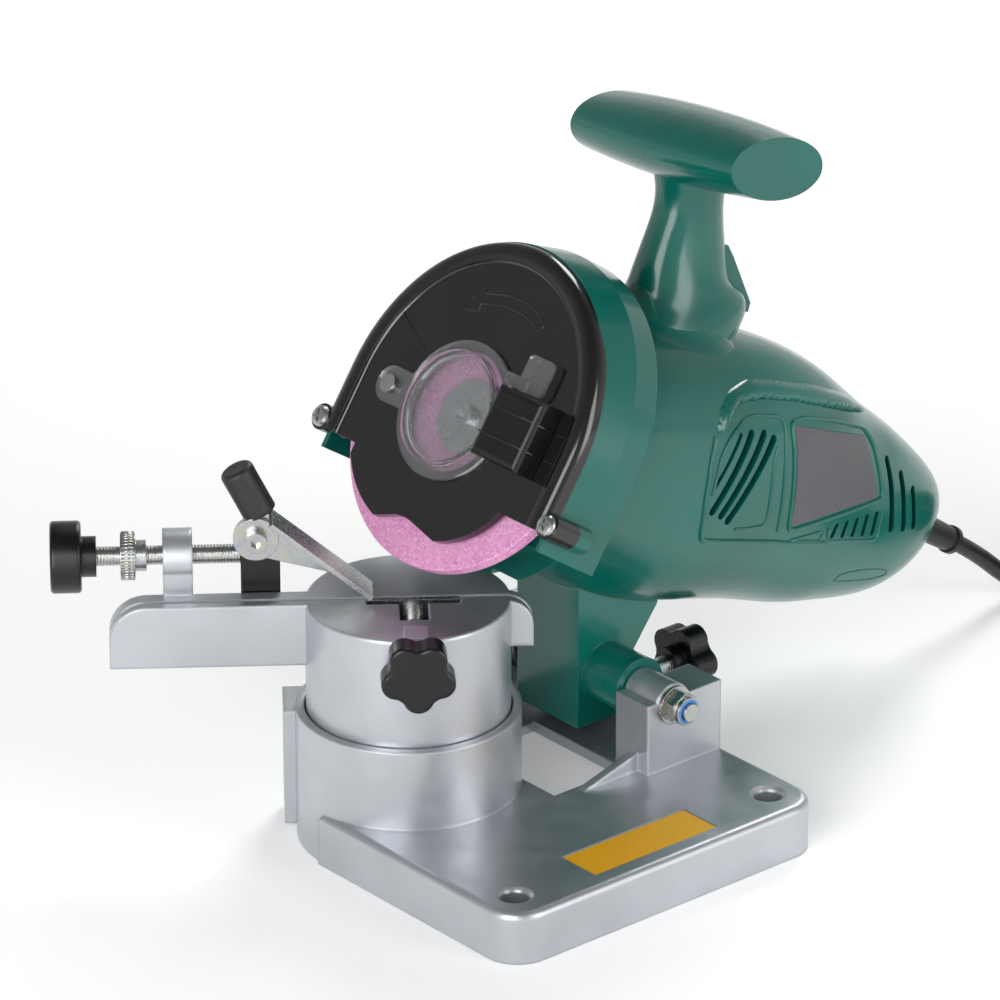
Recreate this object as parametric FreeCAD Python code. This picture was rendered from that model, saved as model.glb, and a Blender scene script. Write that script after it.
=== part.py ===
# Electric chainsaw sharpener for a work bench: a tilted grinding head swings down over a swivelling chain vise.
# Millimetres, +Z up. The origin is the middle between the two bench bolt holes, on the bench's surface.
# +X runs from the grinding wheel to the motor's tail, +Y from the bolt holes to the vise.
import FreeCAD
import Part
import math
import os

V = FreeCAD.Vector

# ---------------------------------------------------------------- driving dimensions
# base casting, seen from the vise axis
baseLeft = 37.5           # vise axis to the plate's left edge
baseRight = 92.5          # vise axis to the plate's right edge
baseNear = 95.0           # vise axis to the plate's near edge
baseFar = 52.0            # vise axis to the far end of the ear strip
plateHeight = 17.5
plateCornerRadius = 12.0
plateEdgeRadius = 2.5
castWall = 5.0
castTop = 3.5
holeSpacing = 106.0
holeInset = 13.5          # bolt holes to the plate's near edge
holeRadius = 4.5
holeBossRadius = 10.0
cupRadius = 36.0
cupHeight = 45.0
cupFloorTop = 16.0
cupFloorThickness = 6.0
padOutset = 39.7
padWidth = 18.0
padHeight = 42.0
slotStripLeft = 57.5      # vise axis to the strip that carries the ears
slotNear = 38.5           # vise axis to the near edge of the chain opening
slotFar = 6.0             # vise axis to the far edge of the chain opening
earFront = 59.6
earRear = 90.8
earInner = 32.0
earOuter = 47.5
earTop = 42.0
earBossRadius = 7.0
ribHeight = 6.5
ribThickness = 3.0
ribLength = 26.0
bridgeFront = 84.0
bridgeThickness = 7.0
bridgeTop = 33.0

# swing pivot of the head
pivotX = 70.0
pivotZ = 40.0
pivotBoltRadius = 3.0
pivotBossRadius = 10.0
washerRadius = 6.5
washerThickness = 1.6
nutAcross = 10.0
nutThickness = 6.0
legHalf = 15.0
legFront = 58.3
legBottom = 22.5
legRear = 76.5

depthZ = 24.0
depthScrewRadius = 3.0
depthGap = 2.0
springCoilRadius = 11.3
springWire = 0.8
springLeg = 12.0
labelX0 = 2.0             # blank label's pocket in the plate
labelX1 = 53.0
labelY0 = -88.0
labelY1 = -72.0
labelDepth = 0.5

# vise
viseAngle = 37.5
drumRadius = 32.6
drumTop = 82.0
drumCapThickness = 26.0
drumWall = 5.0
railEnd = 94.3
railHalf = 4.0
railBottom = 61.0
railEndRadius = 12.0
nubReach = 39.5
nubBottom = 66.0
nubRadius = 9.0
chainSlotWidth = 1.6
chainSlotDepth = 9.0
studRadius = 4.0
lockKnobRadius = 20.0
lockKnobBottom = 1.0
lockKnobTop = 8.8

# chain clamp in the vise
clampOffset = 1.5
jawLength = 29.0
jawThickness = 1.8
jawHeight = 10.0
jawTravel = 2.0
jawBossRadius = 4.0
clampAxisZ = 74.7
clampLugHalf = 4.0
clampLugReach = 1.6
clampLugRise = 1.8
clampScrewRadius = 3.0
clampKnobBack = 36.5
clampKnobThickness = 8.5
knobRadius = 12.0

# chain stop on the rail
stopY = 12.0
stopZ = 93.0
stopScrewRadius = 3.0
stopKnobFar = 112.4
stopKnobFace = 102.6
stopHubFace = 97.9
stopPostLeft = 77.0
stopPostRight = 67.6
stopPostRadius = 8.6
carriageLeft = 52.4
carriageRight = 40.0
carriageFront = 6.6
carriageRear = 17.0
carriageBottom = 70.0
pawlX = 47.6
pawlZ = 101.5
pawlSheet = 1.5
pawlTipX = -11.0
pawlTipZ = 84.8
pawlBackX = -42.5
pawlBackZ = 111.0

# grinding wheel and head
wheelTilt = 34.0
wheelContactZ = 93.5
wheelRadius = 50.0
wheelThickness = 4.5
wheelBore = 5.0
hoodHalf = 53.0
hoodTop = 58.0
stepHalf = 55.2
stepTop = 61.0
coverHalf = 51.0
coverTop = 54.8
coverRim = 4.2
hoodSkirt = 28.5
coverSkirt = 22.7
hoodWall = 1.7
hoodFront = 4.6
hoodStep = -9.5
hoodBack = -20.0
hoodBackWall = 2.5
coverThickness = 2.8
windowRadius = 20.0
windowFlangeRadius = 22.9
windowRingRadius = 19.0
windowRise = 4.6
windowShift = -2.2
latchLeft = 18.6
latchRight = 40.2
lugReach = 30.0
screwBossRadius = 4.3
screwBossReach = 55.0
screwBossDrop = 19.8

# motor
shaftRadius = 5.0
statorRadius = 22.0
statorStart = 44.0
statorEnd = 82.0
armatureRadius = 12.6
rotorAirGap = 0.4
fanStart = 28.5
fanEnd = 38.5
fanRadius = 30.0
frontBearingStart = 20.6
bearingWidth = 7.0
bearingRadius = 11.0
commutatorStart = 90.0
commutatorEnd = 102.0
commutatorRadius = 10.0
rearBearingStart = 108.0
shaftEnd = 115.6
bulkhead = 3.0
frontFlangeRadius = 38.0
frontFlangeDepth = 6.0

# housing, neck and handle
shellWall = 2.4
headLowest = 5.2
drumPassGap = 0.7
screwBite = 12.0
screwCover = 3.0
lipDepth = 26.0
lipHeight = 32.5
handleX = 120.0
handleZ = 204.3
handleHalf = 38.5
handleMidA = 22.8
handleMidB = 12.4
handleEndA = 20.0
handleEndB = 10.4
handleTilt = 15.0
handleRoll = 5.0

# cord
cordRadius = 3.0
cordFirstRun = 14.0
cordFall = 43.0
cordFloorRun = 27.0
cordCoilMean = 35.0       # mean radius of the coil's turns
coilPress = 0.1           # overlap of neighbouring turns
coilStub = 24.0
plugStub = 32.0
plugThickness = 13.7
plugWidth = 35.3
plugLength = 36.0
plugNeck = 8.0
bootLength = 26.0
bootRadius = 5.0
bootTip = 4.2
bootLip = 0.7
bootLipLength = 2.4
bootFlange = 6.0
coilLayers = 4

# clearances
fitGap = 0.3
runGap = 0.03
faceGap = 0.02

# ---------------------------------------------------------------- derived places
webFar = cupRadius - 2.0
viseX = -(baseRight - baseLeft) / 2.0
viseY = baseNear - holeInset
tilt = math.radians(wheelTilt)
wheelNormal = V(-math.cos(tilt), 0, math.sin(tilt))
wheelUp = V(math.sin(tilt), 0, math.cos(tilt))
wheelCentre = V(0, 0, wheelContactZ) + wheelUp * wheelRadius
headFrame = FreeCAD.Placement(wheelCentre, FreeCAD.Rotation(V(0, -1, 0), wheelUp, wheelNormal, "ZXY"))
viseFrame = FreeCAD.Placement(V(0, 0, 0), FreeCAD.Rotation(V(0, 0, 1), -viseAngle))
X, Y, Z = V(1, 0, 0), V(0, 1, 0), V(0, 0, 1)
gripAt = V(-46.2, 8.4, 109.0)
gripAlong = V(-0.446, 0, 0.895)
cordAlong = wheelNormal * -1.0


# ---------------------------------------------------------------- small builders
def cyl(radius, height, at=V(0, 0, 0), along=Z):
    return Part.makeCylinder(radius, height, at, along)


def ring(outer, inner, height, at=V(0, 0, 0), along=Z):
    over = along * 1.0
    return cyl(outer, height, at, along).cut(cyl(inner, height + 2.0, at - over, along))


def box(x0, x1, y0, y1, z0, z1):
    return Part.makeBox(x1 - x0, y1 - y0, z1 - z0, V(x0, y0, z0))


def prism(points, along):
    wire = Part.makePolygon(points + [points[0]])
    return Part.Face(wire).extrude(along)


def hexagon(across, height, at, along=Z):
    corner = across / math.sqrt(3.0)
    pts = [V(corner * math.cos(math.radians(a)), corner * math.sin(math.radians(a)), 0) for a in range(30, 390, 60)]
    solid = prism(pts, V(0, 0, height))
    solid.Placement = FreeCAD.Placement(at, FreeCAD.Rotation(Z, along))
    return solid


def roundedBar(x0, x1, y0, y1, z0, z1, radius):
    solid = box(x0, x1, y0, y1, z0, z1)
    upright = [e for e in solid.Edges if abs(e.Vertexes[0].Z - e.Vertexes[1].Z) > (z1 - z0) / 2.0]
    return solid.makeFillet(radius, upright)


def edgesWhere(shape, test):
    found = []
    for edge in shape.Edges:
        middle = edge.valueAt((edge.FirstParameter + edge.LastParameter) / 2.0)
        if test(middle, edge):
            found.append(edge)
    return found


def softened(shape, radius, test):
    return shape.makeFillet(radius, edgesWhere(shape, test))


def placed(shape, frame):
    copy = shape.copy()
    copy.Placement = frame.multiply(copy.Placement)
    return copy


def fused(shapes):
    return shapes[0].multiFuse(shapes[1:]).removeSplitter()


def starKnob(radius, thickness, lobes=5, turn=54.0):
    """A hand knob with round lobes and shallow hollows between them, standing on z = 0."""
    lobe = radius * 0.4
    cylinders = []
    for i in range(lobes):
        angle = math.radians(turn + 360.0 * i / lobes)
        reach = radius - lobe
        cylinders.append(cyl(lobe, thickness, V(reach * math.cos(angle), reach * math.sin(angle), 0)))
    body = fused([cyl(radius * 0.8, thickness)] + cylinders)
    upright = [e for e in body.Edges if abs(e.Vertexes[0].Z - e.Vertexes[-1].Z) > thickness / 2.0]
    body = body.makeFillet(radius * 0.25, upright)
    return softened(body, 1.2, lambda p, e: p.z > thickness - 0.01)


def headPlace(shape):
    return placed(shape, headFrame)


def visePlace(shape):
    return placed(shape, viseFrame)


# ---------------------------------------------------------------- base
def baseCasting():
    plate = roundedBar(-baseLeft, baseRight, -baseNear, baseFar, 0, plateHeight, plateCornerRadius)
    cutAway = box(-baseLeft - 1, slotStripLeft, webFar, baseFar + 1, -1, plateHeight + 1)
    cutAway = cutAway.fuse(box(-baseLeft - 1, 0, 0, baseFar + 1, -1, plateHeight + 1))
    body = plate.cut(cutAway).removeSplitter()
    body = softened(body, plateEdgeRadius, lambda p, e: p.z > plateHeight - 0.01)
    opening = box(cupRadius - 8, slotStripLeft, -slotNear, slotFar, -1, plateHeight + 1)
    hollow = hollowUnder()
    body = body.cut([opening, hollow])
    cup = cyl(cupRadius, cupHeight)
    pad = visePlace(box(-padOutset, -cupRadius + 8, 2, 2 + padWidth, 2, padHeight))
    # ears, their half-round pivot bosses, the bridge and the rib beside the chain opening
    ears = []
    for sign in (-1, 1):
        low, high = sorted((sign * earInner, sign * earOuter))
        ear = box(earFront, earRear, low, high, plateHeight - 1, earTop)
        ear = ear.fuse(cyl(earBossRadius, high - low, V(pivotX, low, pivotZ), Y)).removeSplitter()
        ears.append(ear)
    bridge = box(bridgeFront, bridgeFront + bridgeThickness, -earInner - 1, earInner + 1, plateHeight - 1, bridgeTop)
    ribRoot = earFront + 1
    rib = prism([V(ribRoot, -slotNear - 1, plateHeight - 0.5),
                 V(ribRoot - ribLength, -slotNear - 1, plateHeight - 0.5),
                 V(ribRoot, -slotNear - 1, plateHeight + ribHeight)], V(0, -ribThickness, 0))
    body = fused([body, cup, pad] + ears + [bridge, rib])
    # bore of the cup, its floor and the room for the lock knob under it
    body = body.cut(cyl(drumRadius + fitGap + 0.3, cupHeight, V(0, 0, cupFloorTop)))
    body = body.cut(cyl(cupRadius - castWall, cupFloorTop - cupFloorThickness + 1, V(0, 0, -1)))
    body = body.cut(cyl(studRadius + fitGap, cupHeight, V(0, 0, -1)))
    for x in holeXs():
        body = body.cut(cyl(holeRadius, 40, V(x, holeY(), -5)))
        body = body.cut(Part.makeCone(holeRadius, holeRadius + 1.2, 1.2, V(x, holeY(), plateHeight - 1.2 + faceGap)))
    body = body.cut(cyl(pivotBoltRadius + fitGap / 2, 2 * earOuter + 20, V(pivotX, -earOuter - 10, pivotZ), Y))
    body = body.cut(cyl(depthScrewRadius + runGap, bridgeThickness + 4, V(bridgeFront - 2, 0, depthZ), X))
    body = body.cut(labelPocket())
    return body


def hollowUnder():
    """The open underside: one room inside the outer skirt, less the bolt bosses, the cup and a rib."""
    top = plateHeight - castTop
    rooms = box(-baseLeft + castWall, baseRight - castWall, -baseNear + castWall, webFar - castWall, -1, top)
    rooms = rooms.fuse(box(slotStripLeft + castWall, baseRight - castWall, 0, baseFar - castWall, -1, top))
    rooms = rooms.cut(box(-baseLeft - 1, 0, 0, baseFar, -2, plateHeight))
    rooms = rooms.cut(cyl(cupRadius, 40, V(0, 0, -2)))
    for x in holeXs():
        rooms = rooms.cut(cyl(holeBossRadius, 40, V(x, holeY(), -2)))
    middle = (holeXs()[0] + holeXs()[1]) / 2.0
    return rooms.cut(box(middle - 2, middle + 2, -baseNear, -slotNear - 4, -2, plateHeight))


def holeXs():
    middle = (baseRight - baseLeft) / 2.0
    return (middle - holeSpacing / 2.0, middle + holeSpacing / 2.0)


def holeY():
    return -baseNear + holeInset


def labelPocket():
    return box(labelX0, labelX1, labelY0, labelY1, plateHeight - labelDepth, plateHeight + 1)


def blankLabel():
    return box(labelX0 + fitGap, labelX1 - fitGap, labelY0 + fitGap, labelY1 - fitGap, plateHeight - labelDepth,
               plateHeight - labelDepth + 0.3)


def pivotBolt():
    head = hexagon(nutAcross, 4.0, V(pivotX, earOuter + washerThickness + 4.0, pivotZ), V(0, -1, 0))
    shank = cyl(pivotBoltRadius, 2 * earOuter + 2 * washerThickness + nutThickness + 2.5,
                V(pivotX, -earOuter - washerThickness - nutThickness - 1.5, pivotZ), Y)
    return head.fuse(shank).removeSplitter()


def pivotWashers():
    hole = pivotBoltRadius + fitGap / 2
    near = ring(washerRadius, hole, washerThickness, V(pivotX, -earOuter - washerThickness, pivotZ), Y)
    far = ring(washerRadius, hole, washerThickness, V(pivotX, earOuter, pivotZ), Y)
    return Part.makeCompound([near, far])


def pivotNut():
    face = -earOuter - washerThickness
    nut = hexagon(nutAcross, nutThickness - 1.6, V(pivotX, face, pivotZ), V(0, -1, 0))
    collar = cyl(nutAcross * 0.46, 1.6, V(pivotX, face - nutThickness + 1.6, pivotZ), V(0, -1, 0))
    body = nut.fuse(collar)
    return body.cut(cyl(pivotBoltRadius, 30, V(pivotX, face - 15, pivotZ), Y)).removeSplitter()


def depthScrew():
    tip = legRear + depthGap
    return cyl(depthScrewRadius, bridgeFront + bridgeThickness + 26 - tip, V(tip, 0, depthZ), X)


def depthKnob():
    start = bridgeFront + bridgeThickness + 19
    hub = cyl(5.5, 4.0, V(start, 0, depthZ), X)
    star = starKnob(knobRadius, 8.5)
    star.Placement = FreeCAD.Placement(V(start + 4.0, 0, depthZ), FreeCAD.Rotation(Z, X))
    knob = fused([hub, star])
    return knob.cut(cyl(depthScrewRadius, 8.0, V(start - 1, 0, depthZ), X))


def depthLockNut():
    start = bridgeFront + bridgeThickness
    nut = hexagon(nutAcross, 5.0, V(start, 0, depthZ), X)
    return nut.cut(cyl(depthScrewRadius + runGap, 20, V(start - 5, 0, depthZ), X))


# ---------------------------------------------------------------- vise
def viseDrum():
    drum = cyl(drumRadius, drumTop - cupFloorTop - fitGap, V(0, 0, cupFloorTop + fitGap))
    drum = softened(drum, 1.0, lambda p, e: p.z > drumTop - 0.01)
    hollowTop = drumTop - drumCapThickness
    hollow = ring(drumRadius - drumWall, 9.0, hollowTop - cupFloorTop, V(0, 0, cupFloorTop))
    drum = drum.cut(hollow)
    rail = box(-railEnd, 0, -railHalf, railHalf + 2, railBottom, drumTop)
    rail = softened(rail, railEndRadius, lambda p, e: p.x < -railEnd + 0.01 and p.z > drumTop - 0.01)
    nub = box(0, nubReach, -railHalf, railHalf, nubBottom, drumTop)
    nub = softened(nub, nubRadius, lambda p, e: p.x > nubReach - 0.01 and p.z > drumTop - 0.01)
    lug = roundedBar(clampOffset - clampLugHalf, clampOffset + clampLugHalf, -drumRadius - clampLugReach,
                     -drumRadius + 8, clampAxisZ - 5, drumTop + clampLugRise, 1.0)
    post = cyl(stopPostRadius, stopPostLeft - stopPostRight, V(-stopPostLeft, stopY, stopZ), X)
    postFoot = box(-stopPostLeft, -stopPostRight, railHalf, stopY + 4, railBottom + 6, stopZ)
    body = fused([drum, rail, nub, lug, post, postFoot])
    # slot for the chain's drive links, the jaw's pocket and the channel of the clamp screw
    body = body.cut(box(-railEnd - 1, nubReach + 1, -chainSlotWidth / 2, chainSlotWidth / 2,
                        drumTop - chainSlotDepth, drumTop + 1))
    pocketFront = -chainSlotWidth / 2 - jawThickness - jawTravel - fitGap
    body = body.cut(box(clampOffset - jawLength / 2 - fitGap, clampOffset + jawLength / 2 + fitGap, pocketFront,
                        chainSlotWidth / 2, drumTop - jawHeight - fitGap, drumTop + 3))
    channel = box(clampOffset - 4.6, clampOffset + 4.6, -17, -chainSlotWidth / 2, clampAxisZ - 4.6, drumTop + 3)
    body = body.cut(channel)
    body = body.cut(cyl(clampScrewRadius + runGap, drumRadius, V(clampOffset, -drumRadius - 3, clampAxisZ), Y))
    body = body.cut(cyl(stopScrewRadius + runGap, 30, V(-stopPostLeft - 5, stopY, stopZ), X))
    # guide groove of the stop carriage in the rail's rear face
    body = body.cut(box(-carriageLeft - 18, -carriageRight + 8, railHalf + 0.2, railHalf + 3, 72, 76))
    body = body.cut(cyl(studRadius, 20, V(0, 0, cupFloorTop - 2)))
    return visePlace(body)


def viseStud():
    return cyl(studRadius, cupFloorTop + 18 - lockKnobBottom - 1.5, V(0, 0, lockKnobBottom + 1.5))


def lockKnob():
    star = starKnob(lockKnobRadius, lockKnobTop - lockKnobBottom)
    star.translate(V(0, 0, lockKnobBottom))
    return star.cut(cyl(studRadius + runGap, lockKnobTop, V(0, 0, lockKnobBottom + 1.5)))


def lockWasher():
    return ring(12.0, studRadius + fitGap, cupFloorTop - cupFloorThickness - lockKnobTop - 0.1,
                V(0, 0, lockKnobTop + 0.05))


def clampJaw():
    face = -chainSlotWidth / 2
    plate = box(clampOffset - jawLength / 2, clampOffset + jawLength / 2, face - jawThickness, face,
                drumTop - jawHeight, drumTop + 0.4)
    boss = cyl(jawBossRadius, 7.0, V(clampOffset, face - jawThickness - 7.0 + 0.5, clampAxisZ), Y)
    return visePlace(plate.fuse(boss).removeSplitter())


def clampScrew():
    inner = -chainSlotWidth / 2 - jawThickness - 6.5
    return visePlace(cyl(clampScrewRadius, clampKnobBack + 5 + inner, V(clampOffset, -clampKnobBack - 5, clampAxisZ), Y))


def clampKnob():
    star = starKnob(knobRadius, clampKnobThickness)
    star.Placement = FreeCAD.Placement(V(clampOffset, -clampKnobBack, clampAxisZ), FreeCAD.Rotation(Z, V(0, -1, 0)))
    star = star.cut(cyl(clampScrewRadius, 5.0, V(clampOffset, -clampKnobBack - 5, clampAxisZ), Y))
    return visePlace(star)


def stopScrew():
    return visePlace(cyl(stopScrewRadius, stopHubFace - carriageLeft + 14, V(-stopHubFace - 5, stopY, stopZ), X))


def stopKnob():
    disc = softened(cyl(11.5, stopKnobFar - stopKnobFace, V(-stopKnobFar, stopY, stopZ), X), 1.2,
                    lambda p, e: e.Length > 40)
    hub = cyl(6.5, stopKnobFace - stopHubFace, V(-stopKnobFace, stopY, stopZ), X)
    knob = disc.fuse(hub).removeSplitter()
    return visePlace(knob.cut(cyl(stopScrewRadius, 10, V(-stopHubFace - 5, stopY, stopZ), X)))


def stopLockNut():
    wheel = cyl(7.5, 4.7, V(-90.3, stopY, stopZ), X)
    hub = cyl(5.0, 3.5, V(-85.6, stopY, stopZ), X)
    nut = wheel.fuse(hub).removeSplitter()
    return visePlace(nut.cut(cyl(stopScrewRadius, 30, V(-100, stopY, stopZ), X)))


def stopCarriage():
    block = box(-carriageLeft, -carriageRight, carriageFront, carriageRear, carriageBottom, stopZ + 6)
    tower = box(-pawlX - 5, -pawlX + 5, carriageFront, carriageFront + 6, stopZ, pawlZ)
    crown = cyl(5.0, 6.0, V(-pawlX, carriageFront, pawlZ), Y)
    tongue = box(-carriageLeft, -carriageRight, railHalf + 0.6, carriageFront + 1, 72.3, 75.7)
    body = fused([block, tower, crown, tongue])
    body = body.cut(cyl(stopScrewRadius + runGap, 10.1, V(-carriageLeft - 1.0, stopY, stopZ), X))
    body = body.cut(cyl(2.5, 20, V(-pawlX, carriageFront - 5, pawlZ), Y))
    return visePlace(body)


def pawlFlap():
    front = carriageFront - fitGap
    ear = cyl(7.2, pawlSheet, V(-pawlX, front - pawlSheet, pawlZ), Y)
    slope = math.atan2(pawlBackZ - pawlTipZ, pawlBackX - pawlTipX)
    sheet = V(-math.sin(slope) * pawlSheet, 0, math.cos(slope) * pawlSheet)
    side = prism([V(pawlBackX, front - pawlSheet, pawlBackZ), V(-pawlX - 4, front - pawlSheet, pawlZ - 4),
                  V(-pawlX + 3, front - pawlSheet, pawlZ - 7), V(pawlTipX - 16, front - pawlSheet, pawlTipZ + 5),
                  V(pawlTipX, front - pawlSheet, pawlTipZ)], V(0, pawlSheet, 0))
    blade = prism([V(pawlTipX, front, pawlTipZ), V(pawlBackX, front, pawlBackZ), V(pawlBackX, -6, pawlBackZ),
                   V(pawlTipX, -6, pawlTipZ)], sheet)
    tab = box(-2.6, 2.6, front - pawlSheet - gripAt.y, front - gripAt.y, -8.0, 12.0)
    tab.Placement = FreeCAD.Placement(gripAt, FreeCAD.Rotation(Z, gripAlong))
    flap = fused([ear, side, blade, tab])
    flap = flap.cut(cyl(2.5 + fitGap, 20, V(-pawlX, front - 10, pawlZ), Y))
    return visePlace(flap)


def pawlScrew():
    front = carriageFront - fitGap - pawlSheet
    shank = cyl(2.5, 8.0, V(-pawlX, front - 2.0, pawlZ), Y)
    washer = ring(7.2, 2.5, 1.4, V(-pawlX, front - 1.4, pawlZ), Y)
    head = cyl(3.5, 3.0, V(-pawlX, front - 4.4, pawlZ), Y)
    socket = hexagon(3.0, 2.0, V(-pawlX, front - 2.6, pawlZ), V(0, -1, 0))
    return visePlace(fused([shank, washer, head]).cut(socket))


def pawlGrip():
    grip = cyl(5.5, 16.8, gripAt, gripAlong)
    grip = softened(grip, 1.5, lambda p, e: p.z > 115 and e.Length > 30)
    return visePlace(grip).cut([pawlFlap(), pawlScrew()])


# ---------------------------------------------------------------- grinding head
def hoodOutline(half, top, skirt=hoodSkirt):
    """Closed outline in the wheel's plane: straight skirts under a half ellipse."""
    left = V(-half, -skirt, 0)
    right = V(half, -skirt, 0)
    ellipse = Part.Ellipse(V(0, top, 0), V(-half, 0, 0), V(0, 0, 0))
    arc = Part.ArcOfEllipse(ellipse, -math.pi / 2, math.pi / 2).toShape()
    wire = Part.Wire([Part.makeLine(left, right), Part.makeLine(right, V(half, 0, 0)), arc,
                      Part.makeLine(V(-half, 0, 0), left)])
    return Part.Face(wire)


def tapered(front, frontAt, back, backAt):
    wires = []
    for face, at in ((front, frontAt), (back, backAt)):
        wire = face.OuterWire.copy()
        wire.translate(V(0, 0, at))
        wires.append(wire)
    return Part.makeLoft(wires, True, True)


def slab(face, low, high):
    copy = face.copy()
    copy.translate(V(0, 0, low))
    return copy.extrude(V(0, 0, high - low))


def bosses(radius, low, high):
    return [cyl(radius, high - low, V(sign * screwBossReach, -screwBossDrop, low)) for sign in (-1, 1)]


def wheelHood():
    wall = hoodWall
    front = tapered(hoodOutline(hoodHalf, hoodTop), hoodFront, hoodOutline(stepHalf, stepTop), hoodStep)
    band = tapered(hoodOutline(stepHalf, stepTop), hoodStep, hoodOutline(stepHalf, stepTop), hoodBack)
    outer = fused([front, band] + bosses(screwBossRadius, hoodStep, hoodFront))
    deep = hoodBack + hoodBackWall
    skirtIn = hoodSkirt + 4
    clearFront = tapered(hoodOutline(hoodHalf - wall, hoodTop - wall, skirtIn), hoodFront + 0.5,
                         hoodOutline(stepHalf - wall, stepTop - wall, skirtIn), hoodStep)
    clearBack = tapered(hoodOutline(stepHalf - wall, stepTop - wall, skirtIn), hoodStep,
                        hoodOutline(stepHalf - wall, stepTop - wall, skirtIn), deep)
    hood = outer.cut([clearFront, clearBack])
    hood = hood.cut(cyl(shaftRadius + 1.0, 30, V(0, 0, hoodBack - 5)))
    for sign in (-1, 1):
        hood = hood.cut(cyl(1.3, 10, V(sign * screwBossReach, -screwBossDrop, hoodFront - 8)))
    return headPlace(largest(hood))


def lobeFace():
    """The cover's lower lobe over the wheel, with a shallow notch at its lowest point."""
    p = [V(-37.0, -20, 0), V(-36.8, -26.3, 0), V(-28.0, -34.9, 0), V(-16.0, -40.6, 0), V(-7.0, -37.3, 0),
         V(2.0, -37.6, 0), V(12.5, -39.8, 0), V(25.5, -33.0, 0), V(33.6, -22.5, 0), V(33.6, -20, 0)]
    left = Part.Arc(p[1], p[2], p[3]).toShape()
    notch = Part.Arc(p[4], V(-2.5, -37.0, 0), p[5]).toShape()
    right = Part.Arc(p[6], p[7], p[8]).toShape()
    wire = Part.Wire([Part.makeLine(p[0], p[1]), left, Part.makeLine(p[3], p[4]), notch, Part.makeLine(p[5], p[6]),
                      right, Part.makeLine(p[8], p[9]), Part.makeLine(p[9], p[0])])
    return Part.Face(wire)


def guardCover():
    low, high = hoodFront, hoodFront + coverThickness
    plate = slab(hoodOutline(coverHalf, coverTop, coverSkirt), low, high)
    lobe = slab(lobeFace(), low, high)
    rimFace = hoodOutline(coverHalf, coverTop).cut(hoodOutline(coverHalf - coverRim, coverTop - coverRim))
    rim = slab(rimFace, high - 0.1, high + 1.1).common(box(-80, 80, -coverSkirt + 1, 80, low, high + 5))
    ears = bosses(screwBossRadius, low, high + 0.4)
    body = fused([plate, lobe, rim] + ears)
    body = body.cut(cyl(windowRadius, 20, V(windowShift, 0, low - 5)))
    for sign in (-1, 1):
        body = body.cut(cyl(1.8, 20, V(sign * screwBossReach, -screwBossDrop, low - 5)))
    body = body.cut(cyl(1.5, 20, V(windowShift - lugReach, -1, low - 5)))
    return headPlace(body)


def coverScrews():
    shapes = []
    for sign in (-1, 1):
        top = hoodFront + coverThickness + 0.4
        head = cyl(3.6, 1.8, V(sign * screwBossReach, -screwBossDrop, top))
        shank = cyl(1.3, 8.0 + coverThickness, V(sign * screwBossReach, -screwBossDrop, top - 8.0 - coverThickness))
        shank = shank.common(cyl(5, 20, V(sign * screwBossReach, -screwBossDrop, hoodFront - 7.9)))
        shapes.append(headPlace(head.fuse(shank).removeSplitter()))
    return Part.makeCompound(shapes)


windowLow = hoodFront + coverThickness + fitGap


def inspectionWindow():
    flange = cyl(windowFlangeRadius, 1.4, V(windowShift, 0, windowLow))
    dome = cyl(windowRingRadius, windowRise, V(windowShift, 0, windowLow))
    lug = cyl(6.0, 1.4, V(windowShift - lugReach, -1, windowLow))
    neck = box(windowShift - lugReach, windowShift - 18, -7, 5, windowLow, windowLow + 1.4)
    tab = roundedBar(20, 31.5, 14.5, 26.5, windowLow + 1.4, windowLow + 2.8, 2.0)
    step = box(14, 23, 14.4, 18.5, windowLow + 0.2, windowLow + 2.8)
    body = fused([flange, dome, lug, neck, tab, step])
    body = body.cut(cyl(windowRingRadius - 1.6, windowRise - 1.6, V(windowShift, 0, windowLow)))
    return headPlace(body.cut(cyl(1.5 + fitGap, 20, V(windowShift - lugReach, -1, 0))))


def windowPin():
    shank = cyl(1.5, coverThickness + fitGap + 1.4 + 0.2, V(windowShift - lugReach, -1, hoodFront))
    head = cyl(3.0, 1.2, V(windowShift - lugReach, -1, windowLow + 1.6))
    return headPlace(shank.fuse(head).removeSplitter())


def windowLatch():
    low = hoodFront + coverThickness + fitGap
    high = low + 9.0
    block = box(latchLeft, latchRight, -9.5, 14.0, low, high)
    block = softened(block, 2.2, lambda p, e: p.z > high - 0.01)
    under = box(latchLeft - 1, latchRight - 13.0, -30, 30, low - 1, windowLow + 1.4 + fitGap)
    return headPlace(block.cut(under))


# ---------------------------------------------------------------- wheel, shaft and motor on the wheel's axis
def grindingWheel():
    half = wheelThickness / 2
    wheel = cyl(wheelRadius, wheelThickness, V(0, 0, -half))
    wheel = softened(wheel, 0.6, lambda p, e: e.Length > 100)
    return headPlace(wheel.cut(cyl(wheelBore + runGap, 20, V(0, 0, -10))))


def rearFlange():
    half = wheelThickness / 2
    flange = cyl(13.0, 3.0, V(0, 0, -half - 3.0))
    hub = cyl(8.0, 6.0, V(0, 0, -half - 9.0))
    body = flange.fuse(hub).removeSplitter()
    return headPlace(body.cut(cyl(wheelBore, 40, V(0, 0, -20))))


def frontFlange():
    half = wheelThickness / 2
    return headPlace(ring(12.0, 2.5, 1.6, V(0, 0, half)))


def hubScrew():
    start = wheelThickness / 2 + 1.6
    head = cyl(4.0, 2.6, V(0, 0, start))
    shank = cyl(2.5, 14.0, V(0, 0, start - 14.0))
    return headPlace(fused([head, shank]).cut(hexagon(3.2, 3.0, V(0, 0, start + 1.0))))


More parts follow.
